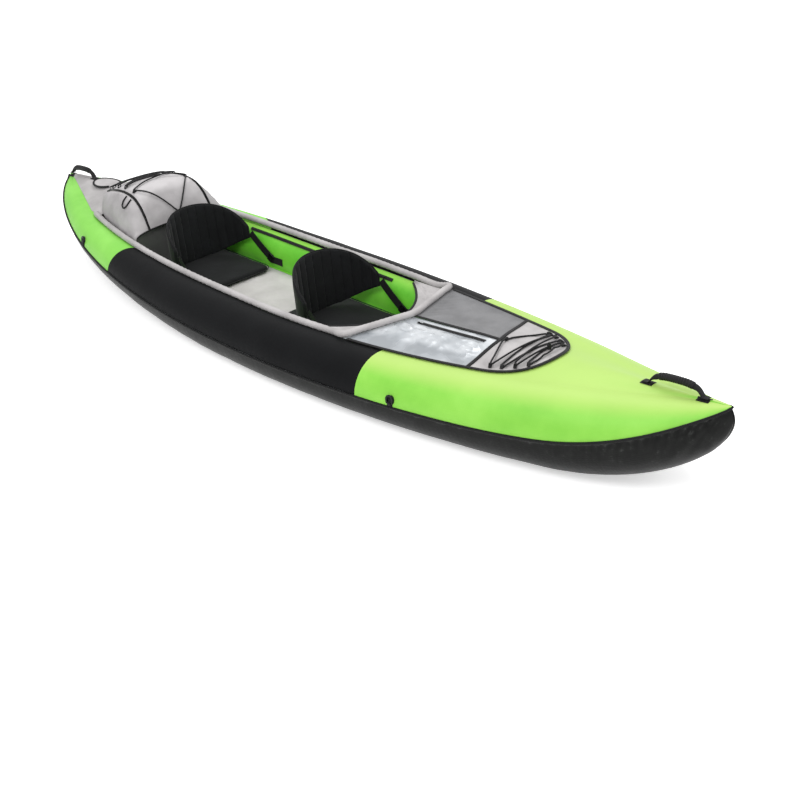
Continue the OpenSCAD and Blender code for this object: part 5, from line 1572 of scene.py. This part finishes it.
# %% Stern flap
FLAP_LEN, FLAP_W, FLAP_HINGE_X, FLAP_LIFT, FLAP_END_W = 0.157, 0.120, -1.480, 0.0016, 0.024
FLAP_STIFF, FLAP_OPEN, FLAP_T, FLAP_PUFF = 0.6, 0.56, 0.0026, 0.0012
FLAP_TAPE = (0.011, 0.0075, 0.7)
flap_mid_x = FLAP_HINGE_X - FLAP_LEN / 2


def flap_half(x):
    return max(FLAP_END_W, FLAP_W / 2 * math.sqrt(max(0.0, 1 - ((x - flap_mid_x) / (FLAP_LEN / 2)) ** 2)))


def flap_z(x, y):
    """The flap is stiff, so it hardly bends down over the deck's crown."""
    return lerp(top_z(x, y), top_z(x, 0.0), FLAP_STIFF) + FLAP_LIFT


def flap_place(u, v):
    x = flap_mid_x - FLAP_LEN / 2 * math.cos(math.pi * u)
    y = flap_half(x) * (2 * v - 1)
    puff = FLAP_PUFF * ruffle(x, y, 0.0, 0.04, 43.0) * held_edges(u, v, 0.15)
    return Vector((x, y, flap_z(x, y) + CLOTH_T + puff))


cloth("stern_flap_cloth", flap_place, 50, 40, up_way, grey_polyester, ["stern_flap"],
      body="stern_flap", thickness=FLAP_T)
flap_edge = []
for turn in span(FLAP_OPEN - math.pi, math.pi - FLAP_OPEN, 96):
    x, y = flap_mid_x - FLAP_LEN / 2 * math.cos(turn), FLAP_W / 2 * math.sin(turn)
    flap_edge.append(Vector((x, y, flap_z(x, y) + FLAP_T)))
to_piece(swept(smooth_path(flap_edge, 2), flat_section(*FLAP_TAPE), 12), "stern_flap_binding", binding_tape,
         "stern_flap")

# %% [markdown]
# A seat is a foam slab in a nylon cover, with a ribbed backrest that wraps round the paddler.
# The slab's cover is pulled tight at its edges and swells between them, so it is blown up a little as
# cloth. Voxels of 5 mm are fine enough for a pad of this size, and no point may move more than 4 mm.

# %% Seat pads
FRONT_SEAT_X, REAR_SEAT_X = -0.016, -0.880
PAD_LEN, PAD_BEHIND, PAD_W, PAD_ROUND = 0.434, 0.108, 0.404, 0.045
PAD_SLOPE = 1.8
PAD_IN, PAD_TOP_IN, PAD_UNDER, PAD_FLOOR = 0.003, 0.002, 0.0012, 0.0002
PAD_EDGE_FROM, PAD_EDGE_DROP, PAD_END_LOW = 0.94, 0.35, 0.55
PAD_VOXEL, PAD_PRESSURE, PAD_CAP, PAD_FRAMES = 0.005, 2.0, 0.004, 20
PIPE_R, PIPE_UP, PIPE_IN, PIPE_LEAST_Y = 0.0022, 0.0165, 0.992, 0.012
SEATS = (("front", FRONT_SEAT_X), ("rear", REAR_SEAT_X))


def pad_base(seat_x):
    return lerp(floor_face(seat_x), floor_face(seat_x - PAD_BEHIND), PAD_SLOPE) + LAYER_GAP


def pad_end(d):
    return min(d, PAD_LEN - d) / PAD_ROUND


def pad_half(d):
    return PAD_W / 2 - PAD_ROUND * (1 - math.sqrt(1 - max(0.0, 1 - pad_end(d)) ** 2))


def pad_top(d, k):
    return PAD_T + PAD_CROWN * (1 - k * k) * (1 - (2 * d / PAD_LEN - 1) ** 2)


def pad_place(seat_x):
    def place(u, v):
        d = PAD_LEN * (1 - math.cos(math.pi * u)) / 2
        k = -math.cos(math.tau * v) if v <= 0.5 else math.cos(math.tau * (v - 0.5))
        half = pad_half(d) - PAD_IN
        x = seat_x - PAD_BEHIND + PAD_IN + d * (PAD_LEN - 2 * PAD_IN) / PAD_LEN
        if v <= 0.5:
            side = 1 - PAD_EDGE_DROP * max(0.0, (abs(k) - PAD_EDGE_FROM) / (1 - PAD_EDGE_FROM))
            z = (pad_top(d, k) - PAD_TOP_IN) * min(1.0, PAD_END_LOW + pad_end(d) * 3) * side
        else:
            z = PAD_UNDER
        return Vector((x, k * half, pad_base(seat_x) + z))
    return place


def apply_modifiers(piece):
    """Makes what the modifiers show the piece's own mesh."""
    graph = bpy.context.evaluated_depsgraph_get()
    graph.update()
    shown = bpy.data.meshes.new_from_object(piece.evaluated_get(graph), preserve_all_data_layers=True,
                                            depsgraph=graph)
    old = piece.data
    piece.modifiers.clear()
    piece.data = shown
    shown.name = piece.name
    bpy.data.meshes.remove(old)


def puffed(piece, voxel, pressure, cap):
    """Blows a closed shape up as cloth and keeps each point within cap of its start."""
    remesh = piece.modifiers.new("voxels", "REMESH")
    remesh.mode, remesh.voxel_size = "VOXEL", voxel
    apply_modifiers(piece)
    start = [v.co.copy() for v in piece.data.vertices]
    settings = piece.modifiers.new("blow", "CLOTH").settings
    settings.use_pressure = True
    settings.uniform_pressure_force = pressure
    settings.effector_weights.gravity = 0.0
    settings.quality = 4
    for number in range(1, PAD_FRAMES + 1):
        scene.frame_set(number)
    apply_modifiers(piece)
    scene.frame_set(1)
    for vert, before in zip(piece.data.vertices, start):
        moved = vert.co - before
        if moved.length > cap:
            vert.co = before + moved * (cap / moved.length)
    return piece


for name, seat_x in SEATS:
    slab = sealed(grid(64, 96, pad_place(seat_x), (PAD_LEN, 2 * PAD_W)))
    pad = to_piece(slab, name + "_seat_cushion", seat_nylon, None)
    puffed(pad, PAD_VOXEL, PAD_PRESSURE, PAD_CAP)
    pad_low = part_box(name + "_seat_pad")[0].z
    for vert in pad.data.vertices:
        vert.co.z = max(vert.co.z, pad_low + PAD_FLOOR)
    pad.data.shade_smooth()
    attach(pad, "hull")
    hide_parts(name + "_seat_pad")
    rim_line = []
    for turn in span(0, 1, 200):
        d = PAD_LEN * (0.5 - 0.5 * math.cos(math.tau * turn))
        side = 1 if turn < 0.5 else -1
        y = max(PIPE_LEAST_Y, pad_half(d)) * side * PIPE_IN
        z = pad_base(seat_x) + PIPE_UP * min(1, 0.75 + pad_end(d))
        rim_line.append(Vector((seat_x - PAD_BEHIND + d, y, z)))
    rim_line[-1] = rim_line[0].copy()
    to_piece(swept(rim_line, round_section(PIPE_R), 8), name + "_seat_cushion_piping", binding_tape, "hull")

# %% [markdown]
# The backrest is foam between two cloths, quilted into upright ribs on the side that faces the paddler.
# Its section is drawn round in one loop: up the back, over the top edge, down the ribbed front and under.
# The grooves are narrow and sharp, because thread pulls them in, and the ribs between them stay round.

# %% Backrests
BACK_HALF_W, BACK_DEPTH, BACK_H, BACK_T, BACK_RIBS = 0.205, 0.185, 0.248, 0.020, 14
BACK_LEAN, BACK_REACH = math.radians(5), math.radians(88)
BACK_WING_LOW, BACK_WING_TOP, RIB_DEPTH, BEAD_GAP = 0.085, 0.110, 0.004, 0.0004
BACK_SQUARE, BACK_END, BACK_WAVE, BACK_LOW_FROM = 0.35, 0.03, 0.0012, 0.36
RIB_POW, RIB_FULL, RIB_PITCH, RIB_RIPPLE = 0.45, 1.15, 0.0055, 0.0012
BACK_MAP, BACK_TAPE = (0.66, 0.55), (0.0035, 0.0085, 0.8)
TAPE_LOW_TO, TAPE_LOW_UP, TAPE_TOP_IN, BACK_HEM = 0.42, 0.0035, 0.0005, 0.001


def hinge_z(seat_x):
    return pad_base(seat_x) + pad_top(PAD_BEHIND, 0) + BACK_T / 2 + BEAD_GAP


def back_low(s):
    rise = BACK_WING_LOW * max(0.0, (abs(s) - BACK_LOW_FROM) / (1 - BACK_LOW_FROM)) ** 1.3
    return rise + 0.25 * BACK_DEPTH * (1 - math.cos(BACK_REACH * s)) * (1 - abs(s))


def back_high(s):
    return BACK_H - BACK_WING_TOP * abs(s) ** 2.4


def back_spot(seat_x, s, h, off):
    f = BACK_REACH * s
    n = Vector((-math.cos(f) / BACK_DEPTH, math.sin(f) / BACK_HALF_W)).normalized()
    return Vector((seat_x + BACK_DEPTH * (1 - math.cos(f)) - h * math.tan(BACK_LEAN) + off * n.x,
                   BACK_HALF_W * math.sin(f) + off * n.y, hinge_z(seat_x) + h))


def back_place(seat_x):
    def place(u, v):
        s = 2 * u - 1
        turn = math.tau * v
        c, d = math.cos(turn), math.sin(turn)
        share = 0.5 + 0.5 * blunt(d, BACK_SQUARE) if abs(d) > 1e-9 else 0.5
        thick = blunt(c, BACK_SQUARE) if abs(c) > 1e-9 else 0.0
        low, high = back_low(s) - BACK_T / 2 * ease((0.5 - abs(s)) / 0.5), back_high(s)
        h = lerp(low + BACK_HEM, high - BACK_HEM, share)
        taper = ease(min(1.0, (1 - abs(s)) / BACK_END) * 0.9 + 0.1)
        if thick > 0:
            off = thick * (BACK_T / 2 - BACK_WAVE)
            off += BACK_WAVE * ruffle(s * 0.3, h, 0.0, 0.07, seat_x) * thick
        else:
            groove = 1 - abs(math.sin(math.pi * s * BACK_RIBS / 2)) ** RIB_POW
            cross = RIB_RIPPLE * math.sin(h / RIB_PITCH + 6 * ruffle(s, h, 0.0, 0.3)) * groove
            off = thick * (BACK_T / 2 - 0.0005 - RIB_DEPTH * RIB_FULL * groove - cross)
        return back_spot(seat_x, s, h, off * taper)
    return place


for name, seat_x in SEATS:
    shell = sealed(grid(196, 72, back_place(seat_x), BACK_MAP))
    back = to_piece(shell, name + "_backrest_cushion", seat_nylon, name + "_backrest",
                    [name + "_backrest"])
    over = [back_spot(seat_x, s, back_high(s) - TAPE_TOP_IN, 0.0) for s in span(-1, 1, 120)]
    down = [back_spot(seat_x, 1.0, lerp(back_high(1), back_low(1), k), 0.0) for k in span(0.1, 0.9, 10)]
    under = [back_spot(seat_x, s, back_low(s) + TAPE_LOW_UP, 0.0) for s in span(1, TAPE_LOW_TO, 40)]
    start = [flipped(p) for p in (down[-2:] + under)[::-1]]
    to_piece(swept(start + over + down + under, flat_section(*BACK_TAPE), 10), name + "_backrest_binding",
             binding_tape, name + "_backrest")

# %% [markdown]
# Webbing holds each backrest up: one strap a side, from the wing down to a buckle and a patch on the wall.

# %% Seat straps, buckles and anchors
STRAP_W, STRAP_T, STRAP_OFF, STRAP_CLEAR, STRAP_SAG = 0.034, 0.002, 0.0108, 0.0008, 0.006
ANCHOR_RUN, ANCHOR_DROP, ANCHOR_FORE = 0.150, 0.108, 0.020
STRAP_TWIST, STRAP_SHOWN_T, ANCHOR_SHOWN_T = 0.3, 0.0018, 0.0018
ANCHOR_SIZE = (0.070, 0.034, 0.002)
WALL_SEAT = 0.0011
anchor_face = WALL_SEAT + ANCHOR_SIZE[2]


def wing(seat_x):
    return back_spot(seat_x, 1.0, (back_low(1) + back_high(1)) / 2, 0.0)


def wall_spot(x, z, off):
    return Vector((x, inboard_y(x, z) - off, z))


anchor_patches = []
for name, seat_x in SEATS:
    top = wing(seat_x) + Vector((STRAP_CLEAR + STRAP_OFF, 0, 0))
    anchor_x, anchor_z = wing(seat_x).x + ANCHOR_RUN, wing(seat_x).z - ANCHOR_DROP
    foot = wall_spot(anchor_x, anchor_z, anchor_face + STRAP_CLEAR + STRAP_T / 2)
    path = [top.lerp(foot, k) - Vector((0, 0, STRAP_SAG * math.sin(math.pi * k))) for k in span(0, 1, 40)]
    bands = []
    for side in (1, -1):
        line = [p if side > 0 else flipped(p) for p in path]
        bands.append(swept(line, flat_section(STRAP_W, STRAP_SHOWN_T, 0.3), 12, (0, -side, STRAP_TWIST)))
    strap = to_piece(joined(bands), name + "_seat_strap_pair", webbing, None)
    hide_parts(name + "_seat_straps")
    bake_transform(strap)

    def anchor_place(u, v):
        x = anchor_x + ANCHOR_FORE + ANCHOR_SIZE[0] * (u - 0.5)
        z = anchor_z + ANCHOR_SIZE[1] * (v - 0.5)
        return wall_spot(x, z, anchor_face)

    for side in (1, -1):
        patch = thicken(grid(14, 8, anchor_place, ANCHOR_SIZE[:2]), lambda p: Vector((0, -1, 0)),
                        ANCHOR_SHOWN_T)
        anchor_patches.append(patch if side > 0 else mirrored(patch))
to_piece(joined(anchor_patches), "strap_anchor_patches", webbing, "hull", ["strap_anchors"])

# %% [markdown]
# A carry handle is webbing rolled to a cord, with a rubber sleeve over its middle. Rings are moulded into the
# sleeve, which stop a wet hand from sliding. At each end the webbing lies flat and is sewn to a patch that
# takes the load. The sewn ends stay while the middle swings.

# %% Carry handles
HANDLE_LEN, HANDLE_H, HANDLE_POW = 0.206, 0.028, 3.2
WEB_R, GRIP_R, GRIP_SHARE, HEM_SHARE, WEB_UNDER = 0.0075, 0.0132, 0.62, 1.16, 0.04
WEB_FLAT, WEB_ROLLED_R, WEB_SQUARE, WEB_ROLL_FROM, WEB_ROLL_RUN = (0.0125, 0.0018), 0.0092, 0.7, 0.25, 0.6
GROOVE_DEPTH, GRIP_END, GRIP_END_R = 0.0009, 0.05, 0.8
PATCH_SIZE, PATCH_LIFT = (0.044, 0.032, 0.002), 0.0008
STITCH_X, STITCH_BAR = 0.013, (0.003, 0.0012, 0.8)
HANDLES = (("bow", HALF_LEN - 0.198), ("stern", 0.140 - HALF_LEN))
GRIP_RINGS = 13


def patch_z(x):
    ends = (top_z(x + PATCH_SIZE[0] / 2, 0) + top_z(x - PATCH_SIZE[0] / 2, 0)) / 2
    return max(top_z(x, 0), ends) + PATCH_LIFT


def handle_foot(middle, side):
    x = middle + side * HANDLE_LEN / 2
    return Vector((x, 0, patch_z(x) + PATCH_SIZE[2] + 2 * LAYER_GAP + WEB_R))


def handle_spot(middle, s):
    arch = HANDLE_H * max(0.0, 1 - abs(s) ** HANDLE_POW)
    return handle_foot(middle, -1).lerp(handle_foot(middle, 1), (s + 1) / 2) + Vector((0, 0, arch))


def grip_radius(t, s):
    ends = clamp(min(t, 1 - t) / GRIP_END)
    ring = abs(math.sin(math.pi * GRIP_RINGS * t)) ** 0.6
    return GRIP_R * (GRIP_END_R + (1 - GRIP_END_R) * math.sqrt(ends)) - GROOVE_DEPTH * (1 - ring) * ends


def web_section(t, s):
    """Webbing that lies wide and flat at its sewn end, and is rolled nearly round at the sleeve."""
    turn = math.tau * s
    roll = ease((t - WEB_ROLL_FROM) / WEB_ROLL_RUN)
    wide, high = (lerp(flat, WEB_ROLLED_R, roll) for flat in WEB_FLAT)
    fold = 1 + roll * (0.05 * math.sin(2 * (turn + 5 * t)) + 0.04 * math.sin(3 * turn - 9 * t))
    drop = (WEB_R + 2 * LAYER_GAP - high) * (1 - roll)
    return (high * blunt(math.cos(turn), WEB_SQUARE) * fold + drop,
            wide * blunt(math.sin(turn), WEB_SQUARE) * fold)


sewn = []
for name, middle in HANDLES:
    for end, side in (("fore", 1), ("aft", -1)):
        line = [handle_spot(middle, side * s) for s in span(HEM_SHARE, GRIP_SHARE - WEB_UNDER, 40)]
        web = to_piece(swept(line, web_section, 20, (0, side, 0)), name + "_handle_web_" + end, webbing, None)
        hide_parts(name + "_handle")
        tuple(line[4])
        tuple(line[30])
        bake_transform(web)
    grip_line = [handle_spot(middle, s) for s in span(-GRIP_SHARE, GRIP_SHARE, 180)]
    sleeve = swept(grip_line, round_section(grip_radius), 28, (0, 1, 0))
    to_piece(sleeve, name + "_handle_sleeve", grip_rubber, name + "_handle",
             [name + "_handle_grip"])
    for side in (-1, 1):
        foot = handle_foot(middle, side)

        def patch_place(u, v):
            x, y = foot.x + PATCH_SIZE[0] * (u - 0.5), PATCH_SIZE[1] * (v - 0.5)
            return Vector((x, y, top_z(x, y) + PATCH_LIFT + PATCH_SIZE[2] * 0.9))

        sewn.append(thicken(grid(22, 16, patch_place, PATCH_SIZE[:2]), up_way, PATCH_SIZE[2] * 0.8))
        for off in (-STITCH_X, STITCH_X):
            bar = [patch_place(0.5 + off / PATCH_SIZE[0], v) for v in span(0.1, 0.9, 12)]
            sewn.append(swept(bar, flat_section(*STITCH_BAR), 8))
to_piece(joined(sewn), "handle_sewn_patches", webbing, "hull", ["handle_patches"])

# %% [markdown]
# Each tie-down ring is a moulded D with a straight bar at its foot. A strip of webbing is sewn to the side of
# the hull, with a round patch behind the ring, and its loose end is folded round the bar, so the ring swings
# in the fold.

# %% Tie-down rings
RING_RISE, TAB_SEAT, BAR_R = 0.018, -0.0007, 0.0022
RING_OUT, RING_THICK, RING_SQUARE = 0.0059, (0.0040, 0.0034), 0.6
RING_BOLD_FROM, RING_BOLD_RUN = 0.0095, 0.008
RING_FOOT_MM = ((0, 0), (3, 0), (6, 0), (9, 0), (10.8, 0.25), (11.9, 1.2), (12.1, 3), (12.05, 6), (12.0, 9))
RING_ARC_MM, RING_ARC_UP_MM, RING_ARC_FROM = 13, 16, -0.42
FOLD_MM = ((1.6, -11.5), (1.7, -7), (1.5, -3), (1.9, 0.4), (3.4, 2.6), (5.9, 3.55), (8.3, 2.6), (9.45, 0),
           (8.4, -2.6), (6.2, -4.0), (4.2, -5.2), (3.4, -7.5), (3.2, -11))
FOLD_WEB = (0.0015, 0.0145, 0.4)
BASE_W, BASE_WAIST, BASE_LOW, BASE_HIGH, BASE_OUT, BASE_T = 0.036, 0.012, -0.0155, 0.0295, 0.0019, 0.0016
BASE_ROUND_FROM, BASE_ROUND, BASE_WAIST_TO, BASE_WAIST_RUN = 0.6, 0.43, 0.45, 0.15
BASE_MAP = (0.032, 0.045)
RINGS = (("bow", 0.815), ("stern", -1.275))


def ring_a(x):
    return seam_a(x) + RING_RISE / tube_ry(x)


def ring_place(x):
    a = ring_a(x)
    run = skin(x + 0.001, a) - skin(x - 0.001, a)
    heading = math.atan2(run.y, run.x)
    tilt = math.atan2(math.sin(a) / tube_rz(x), math.cos(a) / tube_ry(x))
    turn = Matrix.Rotation(heading, 4, "Z") @ Matrix.Rotation(tilt, 4, "X")
    return Matrix.Translation(skin(x, a, TAB_SEAT)) @ turn


def d_ring(place):
    half = list(RING_FOOT_MM)
    half += [(RING_ARC_MM * math.cos(t), RING_ARC_UP_MM + RING_ARC_MM * math.sin(t))
             for t in span(RING_ARC_FROM, math.pi / 2, 14)]
    line = half + [(-x, z) for x, z in half[-2::-1]]
    path = smooth_path([Vector((x * MM, RING_OUT, z * MM)) for x, z in line], 4)

    def section(t, s):
        here = path[int(t * (len(path) - 1))]
        k = ease(max(abs(here.x) - RING_BOLD_FROM, here.z, 0.0) / RING_BOLD_RUN)
        power = lerp(1.0, RING_SQUARE, k)
        return (lerp(BAR_R, RING_THICK[0], k) * blunt(math.cos(math.tau * s), power),
                lerp(BAR_R, RING_THICK[1], k) * blunt(math.sin(math.tau * s), power))

    bm = swept(path, section, 16, (0, 1, 0))
    bmesh.ops.transform(bm, matrix=place, verts=bm.verts)
    return bm


def ring_tab(x):
    def base_place(u, v):
        round_top = math.sqrt(1.0 - (max(v - BASE_ROUND_FROM, 0.0) / BASE_ROUND) ** 2)
        wide = BASE_W * round_top - BASE_WAIST * ease((BASE_WAIST_TO - v) / BASE_WAIST_RUN)
        a = ring_a(x) + lerp(BASE_LOW, BASE_HIGH, v) / tube_ry(x)
        return skin(x + wide * (u - 0.5), a, TAB_SEAT + BASE_OUT)

    path = smooth_path([Vector((0, y * MM, z * MM)) for y, z in FOLD_MM], 5)
    loop = swept(path, flat_section(*FOLD_WEB), 12, (1, 0, 0))
    bmesh.ops.transform(loop, matrix=ring_place(x), verts=loop.verts)
    base = thicken(grid(12, 18, base_place, BASE_MAP), tube_way, BASE_T)
    return joined([base, loop])


tab_pairs = []
for name, x in RINGS:
    to_piece(d_ring(ring_place(x)), name + "_port_d_ring", black_acetal, name + "_port_ring",
             [name + "_port_ring"])
    to_piece(mirrored(d_ring(ring_place(x))), name + "_starboard_d_ring", black_acetal,
             name + "_starboard_ring", [name + "_starboard_ring"])
    tab_pairs += [ring_tab(x), mirrored(ring_tab(x))]
to_piece(joined(tab_pairs), "ring_webbing_tabs", webbing, "hull", ["ring_tabs"])

# %% [markdown]
# The strap buckles, the air valves and their screw caps are plain moulded shapes, so the solids stay.
# They only take a better plastic.

# %% Buckles and valves
KEPT = {"strap_buckles": black_acetal, "air_valves": grey_acetal, "port_valve_cap": black_acetal,
        "starboard_valve_cap": black_acetal, "floor_valve_cap": black_acetal}
for name, plastic in KEPT.items():
    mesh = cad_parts[name].data
    mesh.materials.clear()
    mesh.materials.append(plastic)
print("kept solids:", len(KEPT))

# %% [markdown]
# The set is a wide pale floor under a bright even sky, with three large soft lamps. The floor takes the
# boat's shadow and turns white a little away from it.

# %% Floor, lamps and sky
FLOOR_SIZE, FLOOR_DOWN, FLOOR_GLOW, SKY_LIGHT = 400.0, 0.001, 0.5, 0.72
LAMPS = (("key_lamp", (1.6, -4.2, 5.0), 3.0, 170.0), ("fill_lamp", (5.4, 1.6, 3.2), 3.0, 60.0),
         ("top_lamp", (-1.2, 1.8, 5.4), 3.0, 110.0))
LAMP_AIM = (0, 0, 0.2)
bm = bmesh.new()
bmesh.ops.create_grid(bm, x_segments=1, y_segments=1, size=FLOOR_SIZE / 2)
mesh = bpy.data.meshes.new("studio_floor")
bm.to_mesh(mesh)
bm.free()
floor = bpy.data.objects.new("studio_floor", mesh)
scene.collection.objects.link(floor)
floor.location.z = min(cad_low.z, 0.0) - FLOOR_DOWN
floor_paint, tree, shader, coords = begin("white_floor_paint", Base_Color=linear("#f6f6f6"), Roughness=0.9,
                                          Specular_IOR_Level=0.1)


def as_backdrop(tree, unseen, shown, socket):
    """Sets one strength for light on the boat, and another where the camera or a shiny surface sees it."""
    ray = add(tree, "ShaderNodeLightPath").outputs
    straight = add(tree, "ShaderNodeMath", {0: ray["Is Camera Ray"], 1: ray["Is Glossy Ray"]},
                   operation="MAXIMUM")
    either = add(tree, "ShaderNodeMath", {0: straight.outputs[0], 1: ray["Is Transmission Ray"]},
                 operation="MAXIMUM")
    strength = add(tree, "ShaderNodeMapRange", {"Value": either.outputs[0]},
                   {"To Min": unseen, "To Max": shown})
    tree.links.new(strength.outputs["Result"], socket)


as_backdrop(tree, 0.0, FLOOR_GLOW, shader.inputs["Emission Strength"])
mesh.materials.append(floor_paint)

for name, place, size, watts in LAMPS:
    lamp = bpy.data.lights.new(name, "AREA")
    lamp.shape, lamp.size, lamp.energy = "DISK", size, watts
    holder = bpy.data.objects.new(name, lamp)
    scene.collection.objects.link(holder)
    holder.location = place
    holder.rotation_euler = (Vector(LAMP_AIM) - Vector(place)).to_track_quat("-Z", "Y").to_euler()
world = bpy.data.worlds.new("even_sky")
scene.world = world
world.use_nodes = True
sky = world.node_tree.nodes["Background"]
sky.inputs["Color"].default_value = (1.0, 1.0, 1.0, 1.0)
as_backdrop(world.node_tree, SKY_LIGHT, 1.0, sky.inputs["Strength"])
print("set ready:", len(LAMPS), "lamps")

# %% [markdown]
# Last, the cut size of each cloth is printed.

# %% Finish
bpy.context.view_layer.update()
for name in sorted(soft_sizes):
    print("cut", name, soft_sizes[name])
